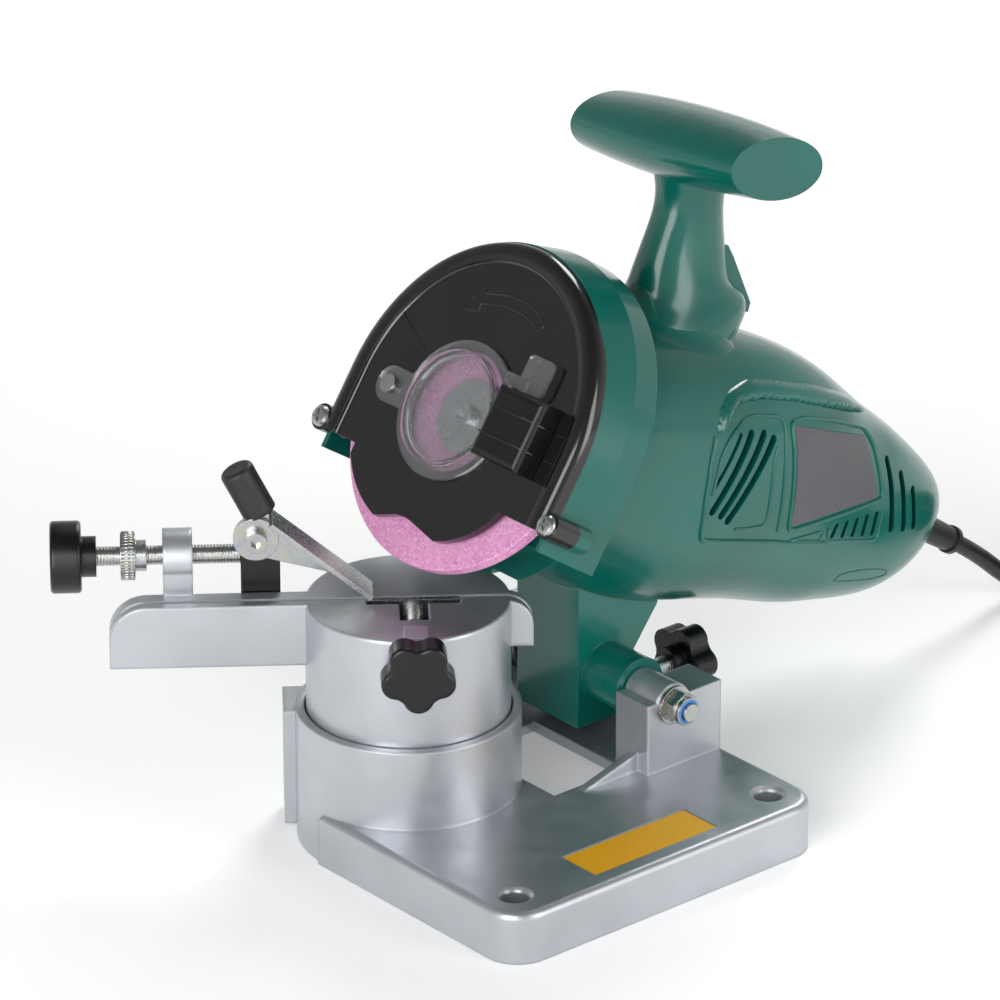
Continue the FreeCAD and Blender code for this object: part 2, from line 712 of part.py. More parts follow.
def motorShaft():
    # the wheel, the flanges, the fan and the armature all sit on this one shaft
    body = cyl(shaftRadius, shaftEnd + wheelThickness / 2 - 0.2, V(0, 0, -shaftEnd))
    return headPlace(body.cut(cyl(2.5, 14.0, V(0, 0, wheelThickness / 2 + 1.6 - 14.0))))


def armature():
    core = ring(armatureRadius, shaftRadius, statorEnd - statorStart - 6, V(0, 0, -statorEnd + 3))
    for i in range(12):
        angle = 2 * math.pi * i / 12
        x, y = armatureRadius * math.cos(angle), armatureRadius * math.sin(angle)
        core = core.cut(cyl(1.1, 60, V(x, y, -statorEnd)))
    return headPlace(core)


def commutator():
    return headPlace(ring(commutatorRadius, shaftRadius, commutatorEnd - commutatorStart, V(0, 0, -commutatorEnd)))


def fan():
    hub = ring(9.0, shaftRadius, fanEnd - fanStart, V(0, 0, -fanEnd))
    disc = ring(fanRadius, shaftRadius, 1.6, V(0, 0, -fanStart - 1.6))
    blades = []
    for i in range(9):
        blade = box(8.0, fanRadius - 1.0, -0.7, 0.7, -fanEnd, -fanStart - 1.0)
        blade.rotate(V(0, 0, 0), Z, 40.0 * i)
        blades.append(blade)
    return headPlace(fused([hub, disc] + blades))


def bearing(start):
    body = ring(bearingRadius, shaftRadius + runGap, bearingWidth, V(0, 0, -start - bearingWidth))
    body = body.cut(ring(9.6, 6.8, 0.6, V(0, 0, -start - 0.6)))
    return headPlace(body)


def stator():
    stack = ring(statorRadius, armatureRadius + rotorAirGap, statorEnd - statorStart, V(0, 0, -statorEnd))
    window = box(-7, 7, -statorRadius + 4, statorRadius - 4, -statorEnd - 1, -statorStart + 1)
    return headPlace(stack.cut(window.cut(cyl(armatureRadius, 100, V(0, 0, -statorEnd - 10)))))


def brushHolders():
    shapes = []
    middle = -(commutatorStart + commutatorEnd) / 2
    for sign in (-1, 1):
        y0, y1 = sorted((sign * (commutatorRadius + 1.2), sign * (commutatorRadius + 13.0)))
        tube = box(-4.4, 4.4, y0, y1, middle - 4.4, middle + 4.4)
        tube = tube.cut(box(-3.2, 3.2, y0 - 1, y1 - 1 if sign > 0 else y1 + 1, middle - 3.2, middle + 3.2))
        shapes.append(headPlace(tube))
    return Part.makeCompound(shapes)


def carbonBrushes():
    shapes = []
    middle = -(commutatorStart + commutatorEnd) / 2
    for sign in (-1, 1):
        y0, y1 = sorted((sign * (commutatorRadius + 0.05), sign * (commutatorRadius + 9.0)))
        shapes.append(headPlace(box(-3.1, 3.1, y0, y1, middle - 3.1, middle + 3.1)))
    return Part.makeCompound(shapes)


# ---------------------------------------------------------------- housing
# sections of the motor housing from the hood to the tail: centre x, centre z, half height, half width
bodySections = [
    (47.0, 121.5, 45.0, 43.0),
    (86.0, 107.5, 46.0, 41.0),
    (118.6, 94.0, 46.5, 38.0),
    (141.0, 84.0, 43.0, 35.0),
    (168.5, 67.3, 36.5, 30.0),
    (191.0, 55.5, 30.0, 25.3),
    (204.0, 49.3, 24.5, 21.0),
    (212.5, 46.3, 19.0, 16.5),
    (218.0, 44.2, 13.0, 12.0),
]
neckSections = [
    (107.0, 118.0, 34.0, 24.0),
    (108.0, 143.0, 27.0, 17.5),
    (110.9, 156.0, 21.3, 13.5),
    (113.2, 165.0, 17.0, 11.0),
    (114.9, 174.0, 14.9, 9.5),
    (117.0, 184.0, 12.5, 8.8),
    (118.6, 194.0, 12.8, 9.6),
    (119.6, 200.0, 14.0, 11.0),
]


def bodySolid(inset):
    wires = []
    for x, z, high, wide in bodySections:
        wires.append(sectionWire(V(x, 0, z), wheelUp, high - inset, wide - inset))
    return Part.makeLoft(wires, True, False)


def sectionWire(centre, up, high, wide):
    """A closed smooth section through eight points, a little squarer than an ellipse."""
    points = []
    power = 2.3
    for i in range(16):
        angle = 2 * math.pi * i / 16
        c, s = math.cos(angle), math.sin(angle)
        px = math.copysign(abs(c) ** (2 / power), c)
        py = math.copysign(abs(s) ** (2 / power), s)
        points.append(centre + V(0, wide * px, 0) + up * (high * py))
    curve = Part.BSplineCurve()
    curve.interpolate(points, PeriodicFlag=True)
    return Part.Wire([curve.toShape()])


def neckSolid(inset):
    wires = []
    for x, z, deep, wide in neckSections:
        wires.append(sectionWire(V(x, 0, z), X, deep - inset, wide - inset))
    return Part.makeLoft(wires, True, False)


def handleSolid(inset):
    wires = []
    angle = math.radians(-handleTilt)
    roll = math.radians(handleRoll)
    longDir = V(math.cos(angle), 0, math.sin(angle))
    crossDir = V(-math.sin(angle), 0, math.cos(angle))
    for share in (-1.0, -0.55, 0.0, 0.55, 1.0):
        blend = 1.0 - share * share
        a = handleEndA + (handleMidA - handleEndA) * blend - inset
        b = handleEndB + (handleMidB - handleEndB) * blend - inset
        reach = share * (handleHalf - inset)
        centre = V(handleX, reach * math.cos(roll), handleZ - reach * math.sin(roll))
        wires.append(ellipseWire(centre, longDir * a, crossDir * b))
    return Part.makeLoft(wires, True, False)


def ellipseWire(centre, longHalf, crossHalf):
    """A smooth closed ellipse through sixteen points, its seam always at the long axis."""
    points = []
    for i in range(16):
        angle = 2 * math.pi * i / 16
        points.append(centre + longHalf * math.cos(angle) + crossHalf * math.sin(angle))
    curve = Part.BSplineCurve()
    curve.interpolate(points, PeriodicFlag=True)
    return Part.Wire([curve.toShape()])


def motorClear(radius, low, high):
    return headPlace(cyl(radius, high - low, V(0, 0, -high)))


def housingSolid():
    outer = fused([bodySolid(0), neckSolid(0), handleSolid(0)])
    # everything in front of the hood's back face belongs to the hood
    front = headPlace(box(-120, 120, -120, 75, hoodBack, 80))
    outer = outer.cut(front)
    inner = bodySolid(shellWall)
    hollowFront = headPlace(box(-120, 120, -120, 75, hoodBack - 1.0, 80))
    inner = inner.cut(hollowFront).cut(headPlace(box(-120, 120, -120, 120, -400, -tailDepth() + 3.0)))
    shell = outer.cut(inner).cut(neckSolid(shellWall)).cut(handleSolid(shellWall))
    # bulkheads that hold the bearings and the stator
    heads = []
    for radius, low, high in ((bearingRadius, frontBearingStart, frontBearingStart + bearingWidth),
                              (statorRadius, statorStart + 2, statorStart + 2 + bulkhead),
                              (statorRadius, statorEnd - 2 - bulkhead, statorEnd - 2),
                              (bearingRadius, rearBearingStart, rearBearingStart + bearingWidth)):
        head = headPlace(slab(Part.Face(Part.Wire([Part.makeCircle(150)])), -high, -low)).common(bodySolid(shellWall / 2))
        head = head.cut(motorClear(radius, low - 1, high + 1))
        heads.append(head)
    # round flange that seats on the back of the hood
    flange = headPlace(ring(frontFlangeRadius, bearingRadius, frontFlangeDepth, V(0, 0, hoodBack - frontFlangeDepth)))
    return shell, heads + [flange]


def legSolid():
    angled = prism([V(legFront, -legHalf, legBottom), V(legFront, -legHalf, 74), V(74, -legHalf, 92),
                    V(100, -legHalf, 80), V(92, -legHalf, 57), V(80, -legHalf, 41), V(legRear, -legHalf, 33),
                    V(legRear, -legHalf, legBottom)], V(0, 2 * legHalf, 0))
    boss = cyl(pivotBossRadius, 2 * (earInner - 0.5), V(pivotX, -earInner + 0.5, pivotZ), Y)
    leg = fused([angled, boss])
    leg = leg.cut(bodySolid(0)).cut(headPlace(box(-120, 120, -120, 120, hoodBack - faceGap, 80)))
    solids = sorted(leg.Solids, key=lambda s: s.Volume)
    leg = solids[-1]
    leg = leg.cut(cyl(pivotBoltRadius + 1.0, 100, V(pivotX, -50, pivotZ), Y))
    return leg


def pivotBushes():
    shapes = []
    for sign in (-1, 1):
        low, high = sorted((sign * (earInner - 0.5), sign * 8.0))
        shapes.append(ring(pivotBoltRadius + 1.0, pivotBoltRadius + runGap, high - low, V(pivotX, low, pivotZ), Y))
    return Part.makeCompound(shapes)


def handleTrigger():
    # paddle on the rear of the neck, hinged at its lower end
    pts = [V(126.8, -5, 169.5), V(130.2, -5, 168.6), V(132.6, -5, 164), V(140.2, -5, 146), V(139.2, -5, 143),
           V(129.3, -5, 145.6), V(127.6, -5, 154), V(125.5, -5, 163)]
    return prism(pts, V(0, 10, 0)).cut(triggerPin(runGap))


def triggerHole():
    pts = [V(121.5, -5.4, 170.3), V(150.0, -5.4, 170.3), V(150.0, -5.4, 142.0), V(130.0, -5.4, 142.0),
           V(121.5, -5.4, 154)]
    return prism(pts, V(0, 10.8, 0))


def switchModule():
    return box(109.0, 121.5, -14.0, 14.0, 140.0, 160.0).common(neckSolid(shellWall))


def halves(solid):
    big = 400
    near = box(-big, big, -big, 0, -big, big)
    far = box(-big, big, 0, big, -big, big)
    return solid.common(near), solid.common(far)


def largest(shape):
    return sorted(shape.Solids, key=lambda s: s.Volume)[-1]


def tailDepth():
    """Distance of the housing's rear face behind the wheel, along the motor's axis."""
    x, z = bodySections[-1][0], bodySections[-1][1]
    return -(V(x, 0, z) - wheelCentre).dot(wheelNormal)


def tailPoint():
    x, z = bodySections[-1][0], bodySections[-1][1]
    return V(x, 0, z)


def screwPlaces():
    """Housing screws as (x, z), given by depth behind the wheel and height over the motor's axis."""
    found = []
    for depth, height in ((54.0, 33.0), (54.0, -31.0), (131.0, -2.0), (135.0, 49.0)):
        at = wheelCentre - wheelNormal * depth + wheelUp * height
        found.append((at.x, at.z))
    return found + [(116.8, 179.0)]


def wallReach(solid, x, z):
    line = Part.makeLine(V(x, 0, z), V(x, 90, z))
    return line.common(solid).BoundBox.YMax


def slotPrism(x0, z0, x1, z1, width):
    """A straight slot with round ends, running through the housing's side walls."""
    run = V(x1 - x0, 0, z1 - z0)
    across = V(-run.z, 0, run.x).normalize() * (width / 2.0)
    a, b = V(x0, -60, z0), V(x1, -60, z1)
    bar = prism([a + across, b + across, b - across, a - across], V(0, 120, 0))
    return fused([bar, cyl(width / 2.0, 120, a, Y), cyl(width / 2.0, 120, b, Y)])


def ventSlots():
    slots = []
    for x0, z0, x1, z1 in ((112.0, 118.4, 93.0, 98.0), (118.0, 116.4, 97.3, 95.2), (122.4, 113.4, 100.6, 92.2)):
        slots.append(slotPrism(x0, z0, x1, z1, 3.0))
    slots.append(slotPrism(107.0, 119.6, 93.8, 106.6, 1.6))
    for i in range(5):
        x = 153.6 + 5.3 * i
        z = 68.6 - 1.6 * i
        slots.append(slotPrism(x - 0.2, z, x + 1.3, z + 3.0 + 0.8 * i, 2.2))
    for x, z, drop in ((184.2, 84.0, 24.0), (191.2, 76.6, 19.0), (197.4, 69.0, 13.0)):
        slots.append(slotPrism(x, z, x + 0.6, z - drop, 2.8))
    return slots


def plateRegion():
    pts = [V(133.8, -60, 114.2), V(173.0, -60, 96.4), V(176.2, -60, 75.0), V(131.4, -60, 79.6)]
    return prism(pts, V(0, 60, 0))


def ratingPlate():
    """Blank plate let into the near side wall."""
    return bodySolid(-0.15).cut(bodySolid(0.45)).common(plateRegion())


def lowerLip():
    """Thicker wall of the housing's lower front edge, above the drum."""
    return bodySolid(0).common(headPlace(box(-30, 30, -60, -lipHeight, hoodBack - lipDepth, hoodBack)))


def drumPass():
    """Room for the turning drum under the lowered head."""
    room = cyl(nubReach + drumPassGap, 40, V(0, 0, drumTop + drumPassGap - 40))
    room = softened(room, nubRadius, lambda p, e: p.z > drumTop)
    # the clamp screw's lug stands higher and only comes under the near half
    lugSweep = math.hypot(drumRadius + clampLugReach, clampOffset + clampLugHalf) + drumPassGap
    lugTop = drumTop + clampLugRise + drumPassGap
    lugRoom = cyl(lugSweep, 6, V(0, 0, lugTop - 6)).common(box(0, 60, -60, -12, 0, 120))
    for shape in (room, lugRoom):
        shape.rotate(V(pivotX, 0, pivotZ), Y, headLowest)
    return room, lugRoom


def housingHalves(plate):
    shell, heads = housingSolid()
    outer = fused([bodySolid(0), neckSolid(0)])
    posts = []
    for x, z in screwPlaces():
        reach = wallReach(outer, x, z)
        posts.append((x, z, reach))
    middle = fused([bodySolid(shellWall / 2), neckSolid(shellWall / 2)])
    bossesIn = [cyl(4.4, 2 * reach, V(x, -reach, z), Y).common(middle) for x, z, reach in posts]
    whole = shell.multiFuse(heads + bossesIn + [lowerLip()])
    for room in drumPass():
        whole = whole.cut(room)
    whole = whole.cut([triggerHole(), cordClear(), triggerPin(fitGap / 2)] + ventSlots())
    near, far = halves(whole)
    near = near.cut(plate)
    screws = []
    for x, z, reach in posts:
        seat = reach - 7.0
        # the blind hole in the near half stops inside the wall
        deep = min(screwBite, reach - screwCover)
        near = near.cut(cyl(1.5, deep + 1.0, V(x, -deep - 1.0, z), Y))
        far = far.cut([cyl(1.5 + fitGap, 90, V(x, 0, z), Y), cyl(3.6, 90, V(x, seat, z), Y)])
        screw = fused([cyl(1.5, seat + deep, V(x, -deep, z), Y), cyl(3.3, 2.2, V(x, seat, z), Y)])
        screws.append(screw.cut(hexagon(2.6, 3.0, V(x, seat + 1.2, z), Y)))
    return largest(near), largest(far), Part.makeCompound(screws)


def triggerPin(grow=0.0):
    return cyl(1.0 + grow, 2 * 7.4, V(131.4, -7.4, 148.5), Y)


# ---------------------------------------------------------------- mains cord
def cordClear():
    hole = cyl(bootFlange + faceGap, 20, tailPoint() - cordAlong * 20, cordAlong)
    return hole.fuse(cyl(bootRadius + faceGap, 30, tailPoint() - cordAlong * 10, cordAlong))


def cordBoot():
    start = tailPoint() - cordAlong * 6.0
    neck = cyl(bootFlange, 7.0, start, cordAlong)
    sleeve = Part.makeCone(bootRadius, bootTip, bootLength, tailPoint(), cordAlong)
    lip = cyl(bootTip + bootLip, bootLipLength, tailPoint() + cordAlong * (bootLength - bootLipLength),
              cordAlong)
    body = fused([neck, sleeve, lip])
    return softened(body, 0.6, lambda p, e: (p - tailPoint()).dot(cordAlong) > bootLength - 0.01)


def cordPoints():
    start = tailPoint() + cordAlong * bootLength
    first = start + cordAlong * cordFirstRun
    steep = V(math.cos(math.radians(cordFall)), 0, -math.sin(math.radians(cordFall)))
    second = first + steep * ((first.z - cordRadius) / -steep.z)
    return [start, first, second, second + X * cordFloorRun]


def coilX():
    return cordPoints()[-1].x + coilStub


def mainsCord():
    """Straight runs joined by tangent arcs, swept with the cord's round section."""
    points = cordPoints()
    edges = []
    at = points[0]
    for before, corner, after in zip(points, points[1:], points[2:]):
        back = (before - corner)
        on = (after - corner)
        turn = math.pi - back.getAngle(on)
        cut = 0.45 * min(back.Length, on.Length)
        radius = cut / math.tan(turn / 2.0)
        a = corner + back.normalize() * cut
        b = corner + on.normalize() * cut
        middle = corner + (back + on).normalize() * (radius / math.cos(turn / 2.0) - radius)
        edges += [Part.makeLine(at, a), Part.Arc(a, middle, b).toShape()]
        at = b
        print("cord bend radius", round(radius, 1))
    path = Part.Wire(edges + [Part.makeLine(at, points[-1])])
    section = Part.Wire([Part.makeCircle(cordRadius, points[0], cordAlong)])
    print("cord length outside the coil", round(path.Length, 1))
    return path.makePipeShell([section], True, False)


def cordCoil():
    outerRing = cordCoilMean + cordRadius
    centre = V(coilX(), -outerRing, 0)
    turns = []
    for layer in range(coilLayers):
        for radius in (cordCoilMean - cordRadius, outerRing):
            torus = Part.makeTorus(radius, cordRadius + coilPress)
            torus.translate(centre + V(0, 0, cordRadius + coilPress + 2 * cordRadius * layer))
            turns.append(torus)
    inlet = cyl(cordRadius, coilStub, V(coilX() - coilStub, 0, cordRadius), X)
    outlet = cyl(cordRadius, plugStub, plugEntry(), X)
    return fused(turns + [inlet, outlet])


def plugEntry():
    outerRing = cordCoilMean + cordRadius
    return V(coilX() - plugStub, -2 * outerRing, cordRadius + coilPress)


def plugBody():
    """Flat two-pin plug lying on its broad side beside the coil."""
    entry = plugEntry()
    low = entry.z - plugThickness / 2.0
    lift = max(0.0, -low)
    front = entry.x - plugNeck - plugLength
    body = roundedBar(front, entry.x - plugNeck, entry.y - plugWidth / 2, entry.y + plugWidth / 2,
                      low + lift, low + lift + plugThickness, 5.0)
    body = softened(body, 1.5, lambda p, e: p.z > low + lift + plugThickness - 0.01)
    neck = Part.makeCone(cordRadius + 0.1, 6.2, plugNeck + 3.0, V(entry.x, entry.y, entry.z), V(-1, 0, 0))
    return fused([body, neck.common(box(front, entry.x, -300, 300, 0, 60))])


def plugPins():
    entry = plugEntry()
    front = entry.x - plugNeck - plugLength
    z = max(plugThickness / 2.0, entry.z)
    pins = []
    for sign in (-1, 1):
        pin = cyl(2.0, 19.0, V(front - 19.0, entry.y + sign * 9.3, z), X)
        pins.append(softened(pin, 0.8, lambda p, e: p.x < front - 18.9))
    return Part.makeCompound(pins)


def returnSpring():
    """Torsion spring around the pivot boss; one leg bears on the bridge, one lies on the housing's leg."""
    turns = 4.5
    pitch = 2.2
    helix = Part.makeHelix(pitch, pitch * turns, springCoilRadius)
    first = V(springCoilRadius, 0, 0)
    tail = Part.makeLine(first + V(0, -springLeg, 0), first)
    last = helix.Edges[-1].valueAt(helix.Edges[-1].LastParameter)
    head = Part.makeLine(last, last + V(0, springLeg, 0))
    path = Part.Wire([tail] + helix.Edges + [head])
    section = Part.Wire([Part.makeCircle(springWire, first + V(0, -springLeg, 0), Y)])
    coil = path.makePipeShell([section], True, False)
    coil.Placement = FreeCAD.Placement(V(pivotX, legHalf + springWire + faceGap, pivotZ),
                                       FreeCAD.Rotation(V(1, 0, 0), V(0, 0, 1), V(0, 1, 0), "ZXY"))
    return coil


# ---------------------------------------------------------------- writing the nodes
nodes = {}


def addNode(name, shape):
    nodes[name] = shape


def buildAll():
    addNode("base_casting", baseCasting())
    addNode("blank_label", blankLabel())
    addNode("pivot_bolt", pivotBolt())
    addNode("pivot_washers", pivotWashers())
    addNode("pivot_nut", pivotNut())
    addNode("depth_screw", depthScrew())
    addNode("depth_knob", depthKnob())
    addNode("depth_lock_nut", depthLockNut())
    addNode("vise_drum", viseDrum())
    addNode("vise_stud", viseStud())
    addNode("vise_lock_knob", lockKnob())
    addNode("vise_lock_washer", lockWasher())
    addNode("clamp_jaw", clampJaw())
    addNode("clamp_screw", clampScrew())
    addNode("clamp_knob", clampKnob())
    addNode("stop_screw", stopScrew())
    addNode("stop_knob", stopKnob())
    addNode("stop_lock_nut", stopLockNut())
    addNode("stop_carriage", stopCarriage())
    addNode("pawl_flap", pawlFlap())
    addNode("pawl_screw", pawlScrew())
    addNode("pawl_grip", pawlGrip())
    addNode("wheel_hood", wheelHood())
    addNode("guard_cover", guardCover())
    addNode("cover_screws", coverScrews())
    addNode("inspection_window", inspectionWindow())
    addNode("window_pin", windowPin())
    addNode("window_latch", windowLatch())
    addNode("grinding_wheel", grindingWheel())
    addNode("rear_flange", rearFlange())
    addNode("front_flange", frontFlange())
    addNode("hub_screw", hubScrew())
    addNode("motor_shaft", motorShaft())
    addNode("armature", armature())
    addNode("commutator", commutator())
    addNode("cooling_fan", fan())
    addNode("front_bearing", bearing(frontBearingStart))
    addNode("rear_bearing", bearing(rearBearingStart))
    addNode("stator", stator())
    addNode("brush_holders", brushHolders())
    addNode("carbon_brushes", carbonBrushes())
    plate = ratingPlate()
    addNode("rating_plate", plate)
    near, far, screws = housingHalves(plate)
    addNode("housing_screws", screws)
    addNode("housing_near_half", near)
    addNode("housing_far_half", far)
    addNode("pivot_leg", legSolid())
    addNode("pivot_bushes", pivotBushes())
    addNode("trigger", handleTrigger())
    addNode("trigger_pin", triggerPin())
    addNode("head_return_spring", returnSpring())
    addNode("switch_module", switchModule())
    addNode("cord_boot", cordBoot())
    addNode("mains_cord", mainsCord())
    addNode("cord_coil", cordCoil())
    addNode("plug_body", plugBody())
    addNode("plug_pins", plugPins())


def writeAll():
    os.makedirs("parts", exist_ok=True)
    for name, shape in nodes.items():
        moved = shape.copy()
        moved.translate(V(viseX, viseY, 0))
        moved.exportStep("parts/" + name + ".step")
        size = moved.BoundBox
        print(name, len(moved.Solids), "solids", round(moved.Volume), "mm3", moved.isValid(),
              [round(v, 1) for v in (size.XMin, size.XMax, size.YMin, size.YMax, size.ZMin, size.ZMax)])


buildAll()
writeAll()
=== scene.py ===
import bpy
import bmesh
import math
from mathutils import Vector, Matrix
from mathutils.bvhtree import BVHTree
from mathutils.geometry import delaunay_2d_cdt


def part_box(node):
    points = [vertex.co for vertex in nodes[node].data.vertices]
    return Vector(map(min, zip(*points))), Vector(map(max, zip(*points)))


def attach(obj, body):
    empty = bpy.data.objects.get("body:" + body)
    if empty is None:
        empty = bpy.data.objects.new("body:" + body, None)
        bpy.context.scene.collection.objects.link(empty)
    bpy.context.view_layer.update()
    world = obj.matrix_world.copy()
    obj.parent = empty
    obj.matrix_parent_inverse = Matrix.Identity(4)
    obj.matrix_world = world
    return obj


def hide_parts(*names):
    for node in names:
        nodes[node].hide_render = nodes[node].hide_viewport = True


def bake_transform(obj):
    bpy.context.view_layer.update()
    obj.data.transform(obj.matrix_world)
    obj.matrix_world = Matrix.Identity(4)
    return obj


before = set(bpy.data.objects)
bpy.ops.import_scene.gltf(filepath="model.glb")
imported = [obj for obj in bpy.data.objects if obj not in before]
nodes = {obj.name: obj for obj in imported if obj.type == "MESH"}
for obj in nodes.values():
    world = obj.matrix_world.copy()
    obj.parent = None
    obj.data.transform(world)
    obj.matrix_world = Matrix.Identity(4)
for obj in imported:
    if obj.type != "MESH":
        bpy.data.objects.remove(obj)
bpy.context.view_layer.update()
print("stage: frame loaded,", len(nodes), "nodes")


# camera: lens and sensor in millimetres, place in metres, turn in degrees
cameraSetup = {"lens": 252.0, "sensor": 36.0, "near": 0.05, "far": 20.0, "place": (-1.3013, -1.4546, 1.0250),
               "turn": (65.5, 0.0, -40.5)}


def addCamera(setup):
    lens = bpy.data.cameras.new("camera")
    lens.lens = setup["lens"]
    lens.sensor_width = setup["sensor"]
    lens.clip_start = setup["near"]
    lens.clip_end = setup["far"]
    camera = bpy.data.objects.new("camera", lens)
    camera.location = setup["place"]
    camera.rotation_euler = [math.radians(a) for a in setup["turn"]]
    bpy.context.scene.collection.objects.link(camera)
    bpy.context.scene.camera = camera


addCamera(cameraSetup)
print("stage: camera")


# places shared by several pieces, in metres
mm = 0.001
viseShift = Vector((-27.5, 81.5, 0.0)) * mm      # vise axis on the bench
wheelAxis = Vector((-0.829038, 0.0, 0.559193))
wheelUp = Vector((0.559193, 0.0, 0.829038))
wheelAcross = Vector((0.0, -1.0, 0.0))
wheelMiddle = Vector((0.46, 81.5, 134.95)) * mm
viseAlong = Vector((0.793353, -0.608761, 0.0))
viseAway = Vector((0.608761, 0.793353, 0.0))


def fromVise(x, y, z):
    return viseShift + Vector((x, y, z)) * mm


def onHood(across, up, out):
    return wheelMiddle + (wheelAcross * across + wheelUp * up + wheelAxis * out) * mm


def inVise(along, away, z):
    return viseShift + (viseAlong * along + viseAway * away + Vector((0, 0, z))) * mm


# colours and the node helper
def shade(code):
    parts = [int(code[i:i + 2], 16) / 255 for i in (1, 3, 5)]
    return tuple(c / 12.92 if c <= 0.04045 else ((c + 0.055) / 1.055) ** 2.4 for c in parts) + (1.0,)


def addNode(tree, kind, sockets=None, **settings):
    node = tree.nodes.new(kind)
    for name, value in settings.items():
        setattr(node, name, value)
    for name, value in (sockets or {}).items():
        socket = node.inputs[name]
        if isinstance(value, bpy.types.NodeSocket):
            tree.links.new(value, socket)
        else:
            socket.default_value = value
    return node


def startMaterial(name):
    material = bpy.data.materials.new(name)
    material.use_nodes = True
    tree = material.node_tree
    tree.nodes.clear()
    return material, tree


def closeMaterial(material, tree, surface):
    addNode(tree, "ShaderNodeOutputMaterial", {"Surface": surface})
    return material


def rampOf(tree, factor, stops):
    ramp = addNode(tree, "ShaderNodeValToRGB", {"Fac": factor})
    bar = ramp.color_ramp
    while len(bar.elements) < len(stops):
        bar.elements.new(0.5)
    for element, (at, colour) in zip(bar.elements, stops):
        element.position = at
        element.color = shade(colour)
    return ramp.outputs["Color"]


def rangeOf(tree, value, low, high, toLow, toHigh):
    return addNode(tree, "ShaderNodeMapRange", {"Value": value, "From Min": low, "From Max": high, "To Min": toLow,
                                                "To Max": toHigh}).outputs["Result"]


def noiseOf(tree, place, grain, detail=3.0, rough=0.5):
    return addNode(tree, "ShaderNodeTexNoise", {"Vector": place, "Scale": 1.0 / (grain * mm), "Detail": detail,
                                                "Roughness": rough}).outputs["Fac"]


def objectPlace(tree):
    return addNode(tree, "ShaderNodeTexCoord").outputs["Object"]


def moulded(look):
    # an injection moulded or cast skin: slow colour drift, fine grain, a touch of handling wear in the gloss
    material, tree = startMaterial(look["name"])
    place = objectPlace(tree)
    drift = noiseOf(tree, place, look["drift"], 2.0)
    colour = rampOf(tree, drift, [(0.3, look["low"]), (0.7, look["high"])])
    grain = noiseOf(tree, place, look["grain"], 2.0, 0.6)
    gloss = rangeOf(tree, noiseOf(tree, place, look["smear"], 3.0), 0.35, 0.7, look["rough"] * 0.85,
                    look["rough"] * 1.2)
    rounded = addNode(tree, "ShaderNodeBevel", {"Radius": look["edge"] * mm}, samples=4).outputs["Normal"]
    bump = addNode(tree, "ShaderNodeBump", {"Strength": look["relief"], "Distance": look["depth"] * mm,
                                            "Height": grain, "Normal": rounded}).outputs["Normal"]
    skin = addNode(tree, "ShaderNodeBsdfPrincipled", {
        "Base Color": colour, "Roughness": gloss, "Metallic": look.get("metal", 0.0), "Normal": bump,
        "IOR": look.get("ior", 1.5), "Coat Weight": look.get("coat", 0.0),
        "Coat Roughness": look.get("coatRough", 0.05)})
    return closeMaterial(material, tree, skin.outputs["BSDF"])


greenAbs = moulded({  # glossy moulded ABS: clear sharp highlights with a faint orange peel
    "name": "greenAbs", "low": "#05564c", "high": "#076257", "drift": 60.0, "grain": 1.6, "smear": 18.0,
    "rough": 0.2, "relief": 0.08, "depth": 0.04, "edge": 0.5, "ior": 1.5, "coat": 0.12, "coatRough": 0.06})
blackAbs = moulded({  # polished black ABS: dark mirror with soft smears
    "name": "blackAbs", "low": "#09090a", "high": "#0e0e10", "drift": 40.0, "grain": 1.4, "smear": 14.0,
    "rough": 0.16, "relief": 0.06, "depth": 0.04, "edge": 0.45, "ior": 1.54, "coat": 0.3})
blackPhenolic = moulded({  # pressed phenolic knobs: satin, slightly grained
    "name": "blackPhenolic", "low": "#030304", "high": "#060607", "drift": 9.0, "grain": 0.5, "smear": 6.0,
    "rough": 0.3, "relief": 0.2, "depth": 0.05, "edge": 0.7, "ior": 1.48})
softGrip = moulded({  # dipped vinyl sleeve: matte with a dull sheen
    "name": "softGrip", "low": "#171718", "high": "#202022", "drift": 7.0, "grain": 0.35, "smear": 5.0,
    "rough": 0.5, "relief": 0.3, "depth": 0.05, "edge": 0.5, "ior": 1.52})
lacqueredCasting = moulded({  # die cast aluminium under silver lacquer: bright, finely pebbled, soft edges
    "name": "lacqueredCasting", "low": "#b3b6bb", "high": "#c1c4c9", "drift": 35.0, "grain": 0.55, "smear": 12.0,
    "rough": 0.36, "relief": 0.22, "depth": 0.08, "edge": 1.3, "metal": 0.82})
groundSteel = moulded({  # ground steel: cool grey with fine lay
    "name": "groundSteel", "low": "#a6a7aa", "high": "#b9babc", "drift": 8.0, "grain": 0.25, "smear": 4.0,
    "rough": 0.3, "relief": 0.15, "depth": 0.03, "edge": 0.25, "metal": 1.0})
sinteredBronze = moulded({  # sintered bronze: dull, finely porous
    "name": "sinteredBronze", "low": "#8f6f42", "high": "#a88654", "drift": 4.0, "grain": 0.2, "smear": 3.0,
    "rough": 0.45, "relief": 0.4, "depth": 0.05, "edge": 0.2, "metal": 1.0})
springWire = moulded({  # oil hardened spring wire: dark, smooth, slightly blued
    "name": "springWire", "low": "#5d5f66", "high": "#74757b", "drift": 5.0, "grain": 0.3, "smear": 4.0,
    "rough": 0.32, "relief": 0.1, "depth": 0.03, "edge": 0.2, "metal": 1.0})
pressedCarbon = moulded({  # pressed carbon: soft black with a faint graphite sheen
    "name": "pressedCarbon", "low": "#1a1a1b", "high": "#262628", "drift": 3.0, "grain": 0.2, "smear": 2.0,
    "rough": 0.55, "relief": 0.3, "depth": 0.04, "edge": 0.2})
